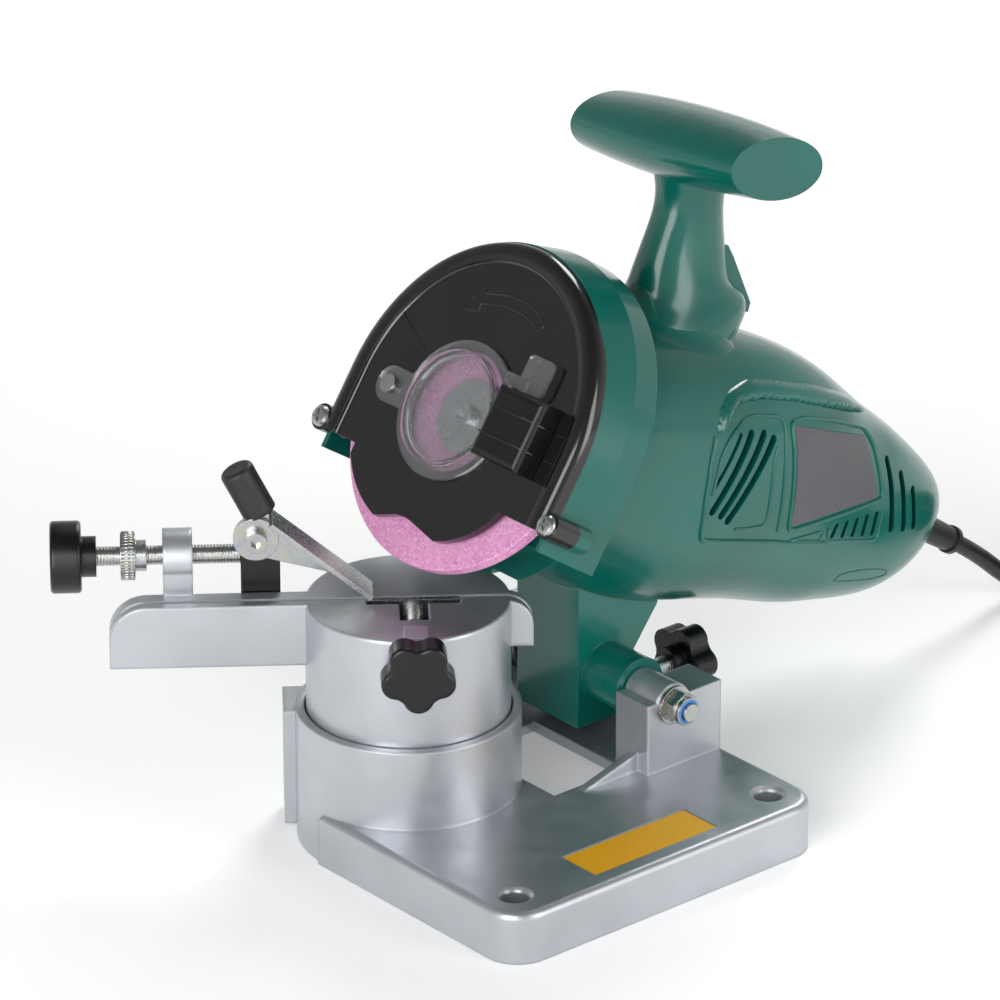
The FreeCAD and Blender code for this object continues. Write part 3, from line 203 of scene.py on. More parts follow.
pvcSheath = moulded({  # soft PVC sheath: near black, low sheen, fine skin
    "name": "pvcSheath", "low": "#0d0d0f", "high": "#131316", "drift": 12.0, "grain": 0.3, "smear": 8.0,
    "rough": 0.42, "relief": 0.2, "depth": 0.04, "edge": 0.4, "ior": 1.53})


def zincPlating():
    # bright zinc with clear passivate: silver with faint blue and straw clouds
    material, tree = startMaterial("zincPlating")
    place = objectPlace(tree)
    cloud = noiseOf(tree, place, 5.0, 3.0, 0.6)
    colour = rampOf(tree, cloud, [(0.3, "#a9aeb6"), (0.5, "#b6b7b6"), (0.72, "#bcb8ab")])
    gloss = rangeOf(tree, noiseOf(tree, place, 1.2, 3.0), 0.3, 0.7, 0.18, 0.32)
    rounded = addNode(tree, "ShaderNodeBevel", {"Radius": 0.35 * mm}, samples=4).outputs["Normal"]
    bump = addNode(tree, "ShaderNodeBump", {"Strength": 0.12, "Distance": 0.03 * mm,
                                            "Height": noiseOf(tree, place, 0.4), "Normal": rounded})
    skin = addNode(tree, "ShaderNodeBsdfPrincipled", {"Base Color": colour, "Roughness": gloss, "Metallic": 1.0,
                                                      "Normal": bump.outputs["Normal"]})
    return closeMaterial(material, tree, skin.outputs["BSDF"])


def corundum():
    # vitrified pink corundum: bonded grit of about 0.25 mm, pale and deep grains, rough all over
    material, tree = startMaterial("corundum")
    place = objectPlace(tree)
    grit = addNode(tree, "ShaderNodeTexVoronoi", {"Vector": place, "Scale": 1 / (0.55 * mm)})
    tone = addNode(tree, "ShaderNodeSeparateColor", {"Color": grit.outputs["Color"]}).outputs["Red"]
    grains = rampOf(tree, tone, [(0.0, "#ad6095"), (0.3, "#cf84b4"), (0.75, "#da9bc4"), (1.0, "#ecc4e0")])
    cloud = rampOf(tree, noiseOf(tree, place, 14.0, 4.0), [(0.3, "#d488ba"), (0.7, "#dea0c9")])
    colour = addNode(tree, "ShaderNodeMixRGB", {"Fac": 0.45, "Color1": grains, "Color2": cloud})
    bump = addNode(tree, "ShaderNodeBump", {"Strength": 0.7, "Distance": 0.12 * mm,
                                            "Height": grit.outputs["Distance"]}).outputs["Normal"]
    skin = addNode(tree, "ShaderNodeBsdfPrincipled", {"Base Color": colour.outputs["Color"], "Roughness": 0.85,
                                                      "Normal": bump})
    return closeMaterial(material, tree, skin.outputs["BSDF"])


def clearPolycarbonate():
    # clear moulded polycarbonate: bright rim, clean middle
    material, tree = startMaterial("clearPolycarbonate")
    place = objectPlace(tree)
    bump = addNode(tree, "ShaderNodeBump", {"Strength": 0.02, "Distance": 0.02 * mm,
                                            "Height": noiseOf(tree, place, 8.0, 1.0)}).outputs["Normal"]
    skin = addNode(tree, "ShaderNodeBsdfPrincipled", {
        "Base Color": shade("#f4f8f8"), "Roughness": 0.04, "Transmission Weight": 0.95, "IOR": 1.58, "Normal": bump})
    return closeMaterial(material, tree, skin.outputs["BSDF"])


def grainedFilm(name, low, high, grain, rough):
    # printed polyester film with an even grained face
    material, tree = startMaterial(name)
    place = objectPlace(tree)
    speck = noiseOf(tree, place, grain, 2.0, 0.7)
    colour = rampOf(tree, speck, [(0.35, low), (0.65, high)])
    bump = addNode(tree, "ShaderNodeBump", {"Strength": 0.25, "Distance": 0.05 * mm, "Height": speck})
    skin = addNode(tree, "ShaderNodeBsdfPrincipled", {"Base Color": colour, "Roughness": rough,
                                                      "Normal": bump.outputs["Normal"]})
    return closeMaterial(material, tree, skin.outputs["BSDF"])


def stackedSteel():
    # electrical steel pressed into a stack: 0.5 mm sheets along the motor's axis, drawn at 1 mm to show
    material, tree = startMaterial("stackedSteel")
    place = objectPlace(tree)
    along = addNode(tree, "ShaderNodeVectorMath", {0: place, 1: wheelAxis}, operation="DOT_PRODUCT").outputs["Value"]
    wave = addNode(tree, "ShaderNodeMath", {0: along, 1: 2 * math.pi / (1.0 * mm)}, operation="MULTIPLY")
    sheets = addNode(tree, "ShaderNodeMath", {0: wave.outputs[0]}, operation="SINE").outputs[0]
    colour = rampOf(tree, rangeOf(tree, sheets, -1, 1, 0, 1), [(0.2, "#3a3b40"), (0.8, "#6a6b70")])
    skin = addNode(tree, "ShaderNodeBsdfPrincipled", {"Base Color": colour, "Metallic": 0.9, "Roughness": 0.42})
    return closeMaterial(material, tree, skin.outputs["BSDF"])


def copperSegments():
    # drawn copper: warm with darker brush tracks
    material, tree = startMaterial("copperSegments")
    place = objectPlace(tree)
    colour = rampOf(tree, noiseOf(tree, place, 1.5, 4.0), [(0.3, "#a35c3c"), (0.7, "#c8805a")])
    skin = addNode(tree, "ShaderNodeBsdfPrincipled", {"Base Color": colour, "Metallic": 1.0, "Roughness": 0.3})
    return closeMaterial(material, tree, skin.outputs["BSDF"])


zinc = zincPlating()
abrasive = corundum()
clearWindow = clearPolycarbonate()
yellowFilm = grainedFilm("yellowFilm", "#e6a80c", "#eeb214", 0.8, 0.4)
greyFilm = grainedFilm("greyFilm", "#47474b", "#58585c", 0.5, 0.45)
stacked = stackedSteel()
copper = copperSegments()

finishes = {
    lacqueredCasting: ["base_casting", "vise_drum"],
    yellowFilm: ["blank_label"],
    greyFilm: ["rating_plate"],
    zinc: ["pivot_bolt", "pivot_washers", "pivot_nut", "depth_screw", "depth_lock_nut", "vise_stud",
           "vise_lock_washer", "clamp_jaw", "clamp_screw", "stop_screw", "stop_lock_nut", "pawl_flap", "pawl_screw",
           "cover_screws", "window_pin", "hub_screw", "housing_screws", "trigger_pin"],
    blackPhenolic: ["depth_knob", "vise_lock_knob", "clamp_knob", "stop_knob", "stop_carriage", "window_latch",
                    "cooling_fan", "switch_module"],
    softGrip: ["pawl_grip"],
    greenAbs: ["wheel_hood", "housing_near_half", "housing_far_half", "pivot_leg", "trigger"],
    blackAbs: ["guard_cover"],
    clearWindow: ["inspection_window"],
    abrasive: ["grinding_wheel"],
    groundSteel: ["rear_flange", "front_flange", "motor_shaft", "front_bearing", "rear_bearing", "plug_pins"],
    stacked: ["armature", "stator"],
    copper: ["commutator", "brush_holders"],
    pressedCarbon: ["carbon_brushes"],
    sinteredBronze: ["pivot_bushes"],
    springWire: ["head_return_spring"],
    pvcSheath: ["cord_boot", "plug_body", "mains_cord", "cord_coil"],
}
for material, names in finishes.items():
    for name in names:
        mesh = nodes[name].data
        mesh.materials.clear()
        mesh.materials.append(material)
print("stage: materials on", sum(len(v) for v in finishes.values()), "nodes")


# mains cord: straight out of its sleeve, down to the bench, then put away in a neat round coil
cordSetup = {"radius": 3.0, "route": [(239.55, 0, 29.66), (251.16, 0, 21.83), (271.36, 0, 3.0), (298.36, 0, 3.0)],
             "coilX": 322.36, "coilMean": 35.0, "perTurn": 24, "leadIn": 12, "offFloor": 0.05,
             "wayOut": [(0, 6.0), (12, 4.5), (22, 0.6)],      # back from the coil's middle, and height over the bench
             "plugEntry": (290.36, -76.0, 3.1)}


def stepped(angle, low, high, before, after):
    t = min(1.0, max(0.0, (angle - low) / (high - low)))
    return before + (after - before) * t


def coilPoints(setup):
    r = setup["radius"]
    inner = setup["coilMean"] - r
    outer = setup["coilMean"] + r
    turns = [  # each turn: radius and layer at its start and end, and the angles it changes between
        (outer, 0, inner, 0, 330, 360), (inner, 0, inner, 1, 300, 330), (inner, 1, inner, 2, 300, 330),
        (inner, 2, inner, 3, 300, 330), (inner, 3, outer, 3, 270, 300), (outer, 3, outer, 2, 240, 270),
        (outer, 2, outer, 1, 240, 270), (outer, 1, outer, 1, 240, 270)]
    step = 360.0 / setup["perTurn"]
    stretch = 1.0 / (0.75 + 0.25 * math.cos(math.radians(step)))      # the spline cuts inside its points
    points = []
    for count, (r0, l0, r1, l1, low, high) in enumerate(turns):
        last = setup["perTurn"] if count < len(turns) - 1 else setup["perTurn"] // 2
        for i in range(1 if count == 0 else 0, last):
            angle = i * step
            ring = stepped(angle, low, high, r0, r1) * stretch
            layer = stepped(angle, low, high, l0, l1)
            turn = math.radians(90 - angle)
            points.append((setup["coilX"] + ring * math.cos(turn), -outer + ring * math.sin(turn),
                           r + 2 * r * layer + setup["offFloor"]))
    return points


def addCord(setup):
    r = setup["radius"]
    outer = setup["coilMean"] + r
    route = setup["route"] + [(setup["coilX"] - setup["leadIn"], 0, r)] + coilPoints(setup)
    route += [(setup["coilX"] - back, -2 * outer, r + high) for back, high in setup["wayOut"]]
    route.append(setup["plugEntry"])
    curve = bpy.data.curves.new("cordRoute", "CURVE")
    curve.dimensions = "3D"
    curve.resolution_u = 6
    spline = curve.splines.new("NURBS")
    spline.points.add(len(route) - 1)
    for point, place in zip(spline.points, route):
        point.co = (*fromVise(*place), 1.0)
    spline.order_u = 3
    spline.use_endpoint_u = True
    guide = bpy.data.objects.new("cordRoute", curve)
    bpy.context.scene.collection.objects.link(guide)
    line = bpy.data.meshes.new_from_object(guide.evaluated_get(bpy.context.evaluated_depsgraph_get()))
    curve.bevel_depth = r * mm
    curve.bevel_resolution = 5
    curve.use_fill_caps = True
    bpy.context.view_layer.update()
    mesh = bpy.data.meshes.new_from_object(guide.evaluated_get(bpy.context.evaluated_depsgraph_get()))
    bpy.data.objects.remove(guide)
    cord = bpy.data.objects.new("mainsLead", mesh)
    bpy.context.scene.collection.objects.link(cord)
    for face in mesh.polygons:
        face.use_smooth = True
    mesh.materials.clear()
    mesh.materials.append(pvcSheath)
    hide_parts("mains_cord", "cord_coil")
    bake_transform(cord)


addCord(cordSetup)


# helpers that make and place meshes
def keep(name, mesh, material, body, smooth=True):
    piece = bpy.data.objects.new(name, mesh)
    bpy.context.scene.collection.objects.link(piece)
    mesh.materials.clear()
    mesh.materials.append(material)
    for face in mesh.polygons:
        face.use_smooth = smooth
    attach(piece, body)
    return piece


def solidified(holder):
    bpy.context.view_layer.update()
    mesh = bpy.data.meshes.new_from_object(holder.evaluated_get(bpy.context.evaluated_depsgraph_get()))
    bpy.data.objects.remove(holder)
    return mesh


def rounded(points, closed=False, passes=2, mostCut=1.4):
    # cuts corners, by a quarter of a run or mostCut, so that a moulded line has small radii
    for _ in range(passes):
        fresh = []
        count = len(points)
        for i in range(count if closed else count - 1):
            a, b = Vector(points[i]), Vector(points[(i + 1) % count])
            cut = min(0.25, mostCut / max((b - a).length, 1e-6))
            fresh += [a + (b - a) * cut, b - (b - a) * cut]
        if not closed:
            fresh = [Vector(points[0])] + fresh[1:-1] + [Vector(points[-1])]
        points = fresh
    return points


def paced(points, gap, closed=False):
    fresh = []
    count = len(points)
    for i in range(count if closed else count - 1):
        a, b = Vector(points[i]), Vector(points[(i + 1) % count])
        parts = max(1, int((b - a).length / gap))
        fresh += [a + (b - a) * (k / parts) for k in range(parts)]
    if not closed:
        fresh.append(Vector(points[-1]))
    return fresh


def beads(lines, radius, closed=False, corners=3):
    curve = bpy.data.curves.new("beads", "CURVE")
    curve.dimensions = "3D"
    for line in lines:
        spline = curve.splines.new("POLY")
        spline.points.add(len(line) - 1)
        for point, place in zip(spline.points, line):
            point.co = (*place, 1.0)
        spline.use_cyclic_u = closed
    curve.bevel_depth = radius * mm
    curve.bevel_resolution = corners
    curve.use_fill_caps = True
    holder = bpy.data.objects.new("beads", curve)
    bpy.context.scene.collection.objects.link(holder)
    return solidified(holder)


def treeOf(names, wanted=None):
    places, faces = [], []
    for name in names:
        data = nodes[name].data
        base = len(places)
        places += [v.co.copy() for v in data.vertices]
        faces += [[base + i for i in f.vertices] for f in data.polygons
                  if wanted is None or wanted(f.center / mm, f.normal)]
    return BVHTree.FromPolygons(places, faces)


nearWall = treeOf(["housing_near_half", "rating_plate"])


def onNearWall(x, z, lift):
    place, normal, _, _ = nearWall.ray_cast(fromVise(x, -120, z), Vector((0, 1, 0)))
    if place is None:
        return None
    if normal.y > 0:
        normal = -normal
    return place + normal * lift * mm


def nearLine(points, lift, closed=False, gap=1.2):
    flat = paced(rounded(points, closed), gap, closed)
    return [p for p in (onNearWall(v[0], v[1], lift) for v in flat) if p is not None]


# Geometry Nodes helpers
def newTree(name, sizes):
    tree = bpy.data.node_groups.new(name, "GeometryNodeTree")
    tree.interface.new_socket("Geometry", in_out="INPUT", socket_type="NodeSocketGeometry")
    for label, value in sizes.items():
        kind = "NodeSocketInt" if isinstance(value, int) else "NodeSocketFloat"
        tree.interface.new_socket(label, in_out="INPUT", socket_type=kind).default_value = value
    tree.interface.new_socket("Geometry", in_out="OUTPUT", socket_type="NodeSocketGeometry")
    return tree, addNode(tree, "NodeGroupInput")


def grown(tree, last, material, sizes):
    whole = addNode(tree, "GeometryNodeRealizeInstances", {"Geometry": last})
    painted = addNode(tree, "GeometryNodeSetMaterial", {"Geometry": whole.outputs[0], "Material": material})
    addNode(tree, "NodeGroupOutput", {"Geometry": painted.outputs[0]})
    holder = bpy.data.objects.new(tree.name, bpy.data.meshes.new(tree.name))
    bpy.context.scene.collection.objects.link(holder)
    modifier = holder.modifiers.new(tree.name, "NODES")
    modifier.node_group = tree
    for item in tree.interface.items_tree:
        if item.in_out == "INPUT" and item.name in sizes:
            modifier[item.identifier] = sizes[item.name]
    return solidified(holder)


def axisFrame(place, along):
    turn = Vector(along).to_track_quat("Z", "X").to_matrix().to_4x4()
    return Matrix.Translation(place) @ turn


def threadMesh(name, sizes, material):
    # a rolled thread's crests: one helix of small round section on the screw's own radius
    tree, group = newTree(name, sizes)
    turns = addNode(tree, "ShaderNodeMath", {0: group.outputs["Length"], 1: group.outputs["Pitch"]},
                    operation="DIVIDE")
    helix = addNode(tree, "GeometryNodeCurveSpiral", {
        "Resolution": 18, "Rotations": turns.outputs[0], "Start Radius": group.outputs["Radius"],
        "End Radius": group.outputs["Radius"], "Height": group.outputs["Length"]})
    crest = addNode(tree, "GeometryNodeCurvePrimitiveCircle", {"Resolution": 6, "Radius": group.outputs["Crest"]})
    swept = addNode(tree, "GeometryNodeCurveToMesh", {"Curve": helix.outputs[0], "Profile Curve": crest.outputs[0],
                                                      "Fill Caps": True})
    return grown(tree, swept.outputs[0], material, sizes)


def ringMesh(name, sizes, material, makeOne):
    # copies of one small shape, evenly round a circle and turned with it
    tree, group = newTree(name, sizes)
    circle = addNode(tree, "GeometryNodeMeshCircle", {"Vertices": group.outputs["Count"],
                                                      "Radius": group.outputs["Ring"]})
    outward = addNode(tree, "GeometryNodeInputPosition")
    turn = addNode(tree, "FunctionNodeAlignRotationToVector", {"Vector": outward.outputs[0]}, axis="X",
                   pivot_axis="Z")
    one = makeOne(tree, group)
    copies = addNode(tree, "GeometryNodeInstanceOnPoints", {"Points": circle.outputs[0], "Instance": one,
                                                            "Rotation": turn.outputs[0]})
    return grown(tree, copies.outputs[0], material, sizes)


def spanOf(name, place, along):
    far = [(v.co - place).dot(along) for v in nodes[name].data.vertices]
    return min(far), max(far)


# threads on the M6 screws that show: a point on each axis, its direction and its body
threadSetup = {"pitch": 1.0, "radius": 2.87, "crest": 0.27, "bareStart": 0.7, "bareEnds": 1.5,
               "screws": {"stop_screw": (inVise(-90, 12, 93), viseAlong, "stop_screw"),
                          "clamp_screw": (inVise(1.5, -30, 74.7), -viseAway, "clamp_screw"),
                          "depth_screw": (fromVise(90, 0, 24), Vector((1, 0, 0)), "depth_screw")}}


def addThreads(setup):
    for name, (place, along, body) in setup["screws"].items():
        low, high = spanOf(name, place, along)
        sizes = {"Length": high - low - setup["bareEnds"] * mm, "Pitch": setup["pitch"] * mm,
                 "Radius": setup["radius"] * mm, "Crest": setup["crest"] * mm}
        mesh = threadMesh(name + "Thread", sizes, zinc)
        mesh.transform(axisFrame(place + along * (low + setup["bareStart"] * mm), along))
        keep(name + "Thread", mesh, zinc, body)
    print("stage: threads")


addThreads(threadSetup)


# knurled lock nut of the chain stop
knurlSizes = {"Count": 40, "Ring": 7.42 * mm, "Rib": 0.34 * mm, "Long": 4.1 * mm}
knurlMiddle = inVise(-87.95, 12, 93)


def addKnurl(sizes):
    def rib(tree, group):
        bar = addNode(tree, "GeometryNodeMeshCylinder", {"Vertices": 6, "Radius": group.outputs["Rib"],
                                                         "Depth": group.outputs["Long"]})
        return bar.outputs["Mesh"]
    mesh = ringMesh("lockNutKnurl", sizes, zinc, rib)
    mesh.transform(axisFrame(knurlMiddle, viseAlong))
    keep("lockNutKnurl", mesh, zinc, "stop_screw")


addKnurl(knurlSizes)


# ejector marks moulded into the window
markSizes = {"Count": 4, "Ring": 13.3 * mm, "Mark": 2.3 * mm, "Line": 0.16 * mm}
windowAcross = -2.2      # the window's middle, left of the wheel's


def addWindowMarks(sizes):
    def mark(tree, group):
        circle = addNode(tree, "GeometryNodeCurvePrimitiveCircle", {"Resolution": 28,
                                                                    "Radius": group.outputs["Mark"]})
        line = addNode(tree, "GeometryNodeCurvePrimitiveCircle", {"Resolution": 6, "Radius": group.outputs["Line"]})
        return addNode(tree, "GeometryNodeCurveToMesh", {"Curve": circle.outputs[0],
                                                         "Profile Curve": line.outputs[0]}).outputs[0]
    mesh = ringMesh("windowMarks", sizes, clearWindow, mark)
    top = spanOf("inspection_window", wheelMiddle, wheelAxis)[1]
    mesh.transform(axisFrame(onHood(windowAcross, 0, 0) + wheelAxis * top, wheelAxis))
    keep("windowMarks", mesh, clearWindow, "window")


addWindowMarks(markSizes)


# raised lines of the side panel: radius, lift, whether it closes, and its points seen from the near side
panelLines = {
    "panelEdge": (0.9, 0.1, False, [(95.0, 123.0), (92.0, 116.1), (89.4, 103.6), (88.9, 88.5), (99.2, 84.7),
                                    (108.8, 81.5), (122.8, 76.6), (129.5, 73.9), (149.6, 67.0)]),
    "ventFrame": (0.5, 0.1, False, [(92.3, 104.0), (96.4, 116.0), (101.5, 120.7), (110.2, 124.1), (115.2, 123.4),
                                    (127.3, 119.1), (129.2, 116.0), (126.6, 100.9), (125.0, 80.0)]),
    "ventLedge": (0.45, 0.05, False, [(123.8, 110.5), (121.3, 105.6), (120.0, 95.7), (118.8, 84.4),
                                      (109.9, 86.2), (104.2, 87.9)]),
    "plateFrame": (0.75, 0.1, True, [(132.6, 115.8), (140.5, 114.2), (156.0, 107.8), (174.8, 98.0), (177.9, 91.5),
                                     (179.0, 73.2), (169.1, 74.2), (130.2, 78.2), (131.0, 92.6)]),
    "wedgeFrame": (0.5, 0.05, True, [(131.0, 74.2), (148.2, 72.2), (147.8, 68.4)]),
    "smallFrame": (0.5, 0.05, False, [(150.6, 72.2), (150.9, 67.2), (159.8, 64.4), (168.5, 61.2), (177.0, 58.4),
                                      (178.8, 68.6)]),
    "screwOval": (0.3, 0.0, True, [(160.5, 47.2), (163.0, 49.6), (171.0, 48.4), (181.0, 45.4), (188.4, 41.8),
                                   (188.0, 39.8), (180.0, 41.2), (170.0, 44.0)]),
}


def addPanelLines(lines):
    for name, (radius, lift, closed, points) in lines.items():
        line = nearLine(points, lift, closed)
        keep(name, beads([line], radius, closed), greenAbs, "head")
    print("stage: panel lines")


addPanelLines(panelLines)


# the raised brow over the vents and the plate
browSetup = {"top": [(95.4, 124.4), (99.1, 130.5), (106.7, 133.7), (118.5, 133.3), (131.3, 128.8), (153.0, 119.9),
                     (172.0, 109.5), (181.5, 101.5)],
             "low": [(183.0, 98.6), (180.6, 99.6), (167.1, 105.9), (152.3, 113.1), (137.6, 120.1), (121.6, 126.0),
                     (109.6, 128.7), (104.7, 127.0), (99.2, 122.5)],
             "rise": 1.7, "softTop": 3.2, "crispLow": 0.9, "gap": 1.3, "sink": 0.12, "wall": 0.8}


def awayFrom(point, line):
    best = 1e9
    for a, b in zip(line, line[1:]):
        run = b - a
        t = max(0.0, min(1.0, (point - a).dot(run) / max(run.length_squared, 1e-9)))
        best = min(best, (point - a - run * t).length)
    return best


def addBrow(setup):
    top = paced(rounded([Vector(p) for p in setup["top"]], passes=3), setup["gap"])
    low = paced(rounded([Vector(p) for p in setup["low"]], passes=2), setup["gap"])
    border = [p.to_2d() for p in top + low]
    inside = []
    xs = [p.x for p in border]
    zs = [p.y for p in border]
    x = min(xs)
    while x < max(xs):
        z = min(zs)
        while z < max(zs):
            inside.append(Vector((x, z)))
            z += setup["gap"]
        x += setup["gap"]
    ringFace = list(range(len(border)))
    flat, _, faces, _, _, _ = delaunay_2d_cdt(border + inside, [], [ringFace], 1, 1e-4)
    top2 = [p.to_2d() for p in top]
    low2 = [p.to_2d() for p in low] + [top2[0]]
    places = []
    for p in flat:
        soft = min(1.0, awayFrom(p, top2) / setup["softTop"])
        crisp = min(1.0, awayFrom(p, low2) / setup["crispLow"])
        rise = setup["rise"] * soft * soft * (3 - 2 * soft) * math.sqrt(crisp)
        places.append(onNearWall(p.x, p.y, rise - setup["sink"]))
    good = [f for f in faces if all(places[i] is not None for i in f)]
    mesh = bpy.data.meshes.new("browPanel")
    mesh.from_pydata([p if p is not None else (0, 0, 0) for p in places], [], [list(f) for f in good])
    shaped = bmesh.new()
    shaped.from_mesh(mesh)
    bmesh.ops.delete(shaped, geom=[v for v in shaped.verts if not v.link_faces], context="VERTS")
    bmesh.ops.recalc_face_normals(shaped, faces=shaped.faces)
    if sum(f.normal.y for f in shaped.faces) > 0:
        bmesh.ops.reverse_faces(shaped, faces=shaped.faces)
    shaped.to_mesh(mesh)
    shaped.free()
    holder = bpy.data.objects.new("browPanel", mesh)
    bpy.context.scene.collection.objects.link(holder)
    wall = holder.modifiers.new("wall", "SOLIDIFY")
    wall.thickness = setup["wall"] * mm
    wall.offset = -1.0
    keep("browPanel", solidified(holder), greenAbs, "head")
    print("stage: brow panel")


addBrow(browSetup)


# the large moulded radius between the neck and the motor housing, small towards the back and open behind,
# where the trigger hangs: millimetres, and degrees from straight behind
flareSetup = {"x": 80.5, "deep": 29.5, "wide": 19.5, "radius": 13.0, "rear": 2.4, "rearFrom": 42.0, "rearTo": 84.0,
              "steps": 110, "arc": 12, "sink": 0.18, "start": 139.0, "startOut": 22.0, "even": 14, "core": 0.8,
              "neckFrom": 132, "neckTo": 192, "topBelow": 168, "topWithin": 90, "slope": 0.3, "leastTurn": 0.3,
              "tries": 60, "ease": 0.7}


def addFlare(setup):
    axis = Vector((setup["x"], viseShift.y / mm, 0.0))
    halves = ("housing_near_half", "housing_far_half")

    def onNeck(c, n):
        out = (c - axis).to_2d()
        inside = (out.x / setup["deep"]) ** 2 + (out.y / setup["wide"]) ** 2 < 1.0
        outward = n.to_2d().dot(out) > setup["slope"] * out.length
        return setup["neckFrom"] < c.z < setup["neckTo"] and inside and outward

    def onTop(c, n):
        near = c.z < setup["topBelow"] and abs(c.x - axis.x) < setup["topWithin"]
        return n.z > setup["slope"] and near and not onNeck(c, n)

    neck = treeOf(halves, onNeck)
    body = treeOf(halves, onTop)
    behind = math.radians(setup["rearFrom"])
    rolls = []
    for k in range(setup["steps"] + 1):
        angle = behind + 2 * (math.pi - behind) * k / setup["steps"]
        way = Vector((math.cos(angle), math.sin(angle), 0.0))
        off = math.degrees(min(angle, 2 * math.pi - angle))
        share = max(0.0, min(1.0, (off - setup["rearFrom"]) / (setup["rearTo"] - setup["rearFrom"])))
        share = share * share * (3 - 2 * share)
        radius = setup["rear"] + (setup["radius"] - setup["rear"]) * share
        reach, high = setup["startOut"] + radius, setup["start"] + radius
        for _ in range(setup["tries"]):      # rolls a ball until it touches the neck and the housing
            middle = (axis + way * reach + Vector((0, 0, high))) * mm
            side = neck.find_nearest(middle)[0]
            under = body.find_nearest(middle)[0]
            reach += setup["ease"] * (radius - (side - middle).length / mm)
            high += setup["ease"] * (radius - (under - middle).length / mm)
        a, b = side - middle, under - middle
        if a.angle(b) > setup["leastTurn"]:
            rolls.append([middle, a, b])
    for _ in range(setup["even"]):      # evens out the facets of the walls
        rolls = [rolls[0]] + [[(p + 2 * q + r) / 4 for p, q, r in zip(*three)]
                              for three in zip(rolls, rolls[1:], rolls[2:])] + [rolls[-1]]
    shaped = bmesh.new()
    loops = []
    for middle, a, b in rolls:
        turn = a.angle(b)
        line = []
        for i in range(setup["arc"] + 1):
            t = i / setup["arc"]
            line.append(middle + (a * math.sin((1 - t) * turn) + b * math.sin(t * turn)) / math.sin(turn))
        line[0] += a.normalized() * setup["sink"] * mm
        line[-1] += b.normalized() * setup["sink"] * mm
        line.append(middle + (a + b).normalized() * (a.length / math.cos(turn / 2) + setup["core"] * mm))
        loops.append([shaped.verts.new(p) for p in line])
    shaped.faces.new(loops[0])
    shaped.faces.new(loops[-1])
    for near, far in zip(loops, loops[1:]):
        for i in range(len(near)):
            j = (i + 1) % len(near)
            shaped.faces.new((near[i], near[j], far[j], far[i]))
    bmesh.ops.recalc_face_normals(shaped, faces=shaped.faces)
    mesh = bpy.data.meshes.new("neckFlare")
    shaped.to_mesh(mesh)
    shaped.free()
    keep("neckFlare", mesh, greenAbs, "head")
    print("stage: neck flare")


addFlare(flareSetup)


# cover: turning arrow, joint line, the round feet under its screws, and the grooves across the latch
coverSetup = {"face": 7.4, "arrowSunk": 0.08, "arrowRadius": 0.32, "jointSunk": 0.12, "jointRadius": 0.3,
              "footAcross": 55.0, "footUp": -19.8, "footRadius": 4.42, "footFrom": -3.0, "footProud": 0.35,
              "grooveUp": (6.9, -2.1), "grooveRadius": 0.28, "latchProud": 9.3,
              "groove": [(19.0, 0.02), (38.3, 0.02), (40.1, -1.9), (40.22, -8.6)],
              "arrow": [(17.1, 36.2), (12.6, 38.4), (6.4, 40.1), (-1.7, 40.2), (-12.3, 37.6), (-13.3, 39.3),
                        (-19.4, 30.3), (-11.5, 31.2), (-12.3, 34.0), (-2.7, 36.5), (6.4, 36.5), (12.0, 35.2),
                        (16.1, 33.6)],
              "joint": [(-44.6, 22.8), (-40.0, 20.4), (-25.4, 12.9)]}


def addCoverLines(setup):
    face = setup["face"]
    arrow = [onHood(b, e, face - setup["arrowSunk"]) for b, e in setup["arrow"]]
    keep("turnArrow", beads([arrow], setup["arrowRadius"], True), blackAbs, "head")
    joint = [onHood(b, e, face - setup["jointSunk"]) for b, e in setup["joint"]]
    keep("coverJoint", beads([joint], setup["jointRadius"]), blackPhenolic, "head")
    feet = [[onHood(side * setup["footAcross"], setup["footUp"], out)
             for out in (setup["footFrom"], face + setup["footProud"])] for side in (-1, 1)]
    keep("coverFeet", beads(feet, setup["footRadius"], corners=8), blackAbs, "head")
    top = face + setup["latchProud"]
    lines = [[onHood(b, e, top + out) for b, out in setup["groove"]] for e in setup["grooveUp"]]
    keep("latchGrooves", beads(lines, setup["grooveRadius"]), blackAbs, "latch")


addCoverLines(coverSetup)


# the cover's rolled rim: a round shoulder and a skirt that laps the hood's front edge; its profile is given
# outwards from the rim's line and along the wheel's axis
rimSetup = {"half": 51.0, "top": 54.8, "skirt": 22.6, "steps": 120, "sharpFrom": 50,
            "profile": [(-4.9, 7.35), (-4.3, 7.7), (-3.9, 8.45), (-2.6, 8.72), (-1.0, 8.75), (0.5, 8.45), (1.6, 7.75),
                        (2.3, 6.6), (2.62, 5.2), (2.7, 3.0), (2.35, 2.9), (2.1, 4.7), (-4.9, 4.7)]}


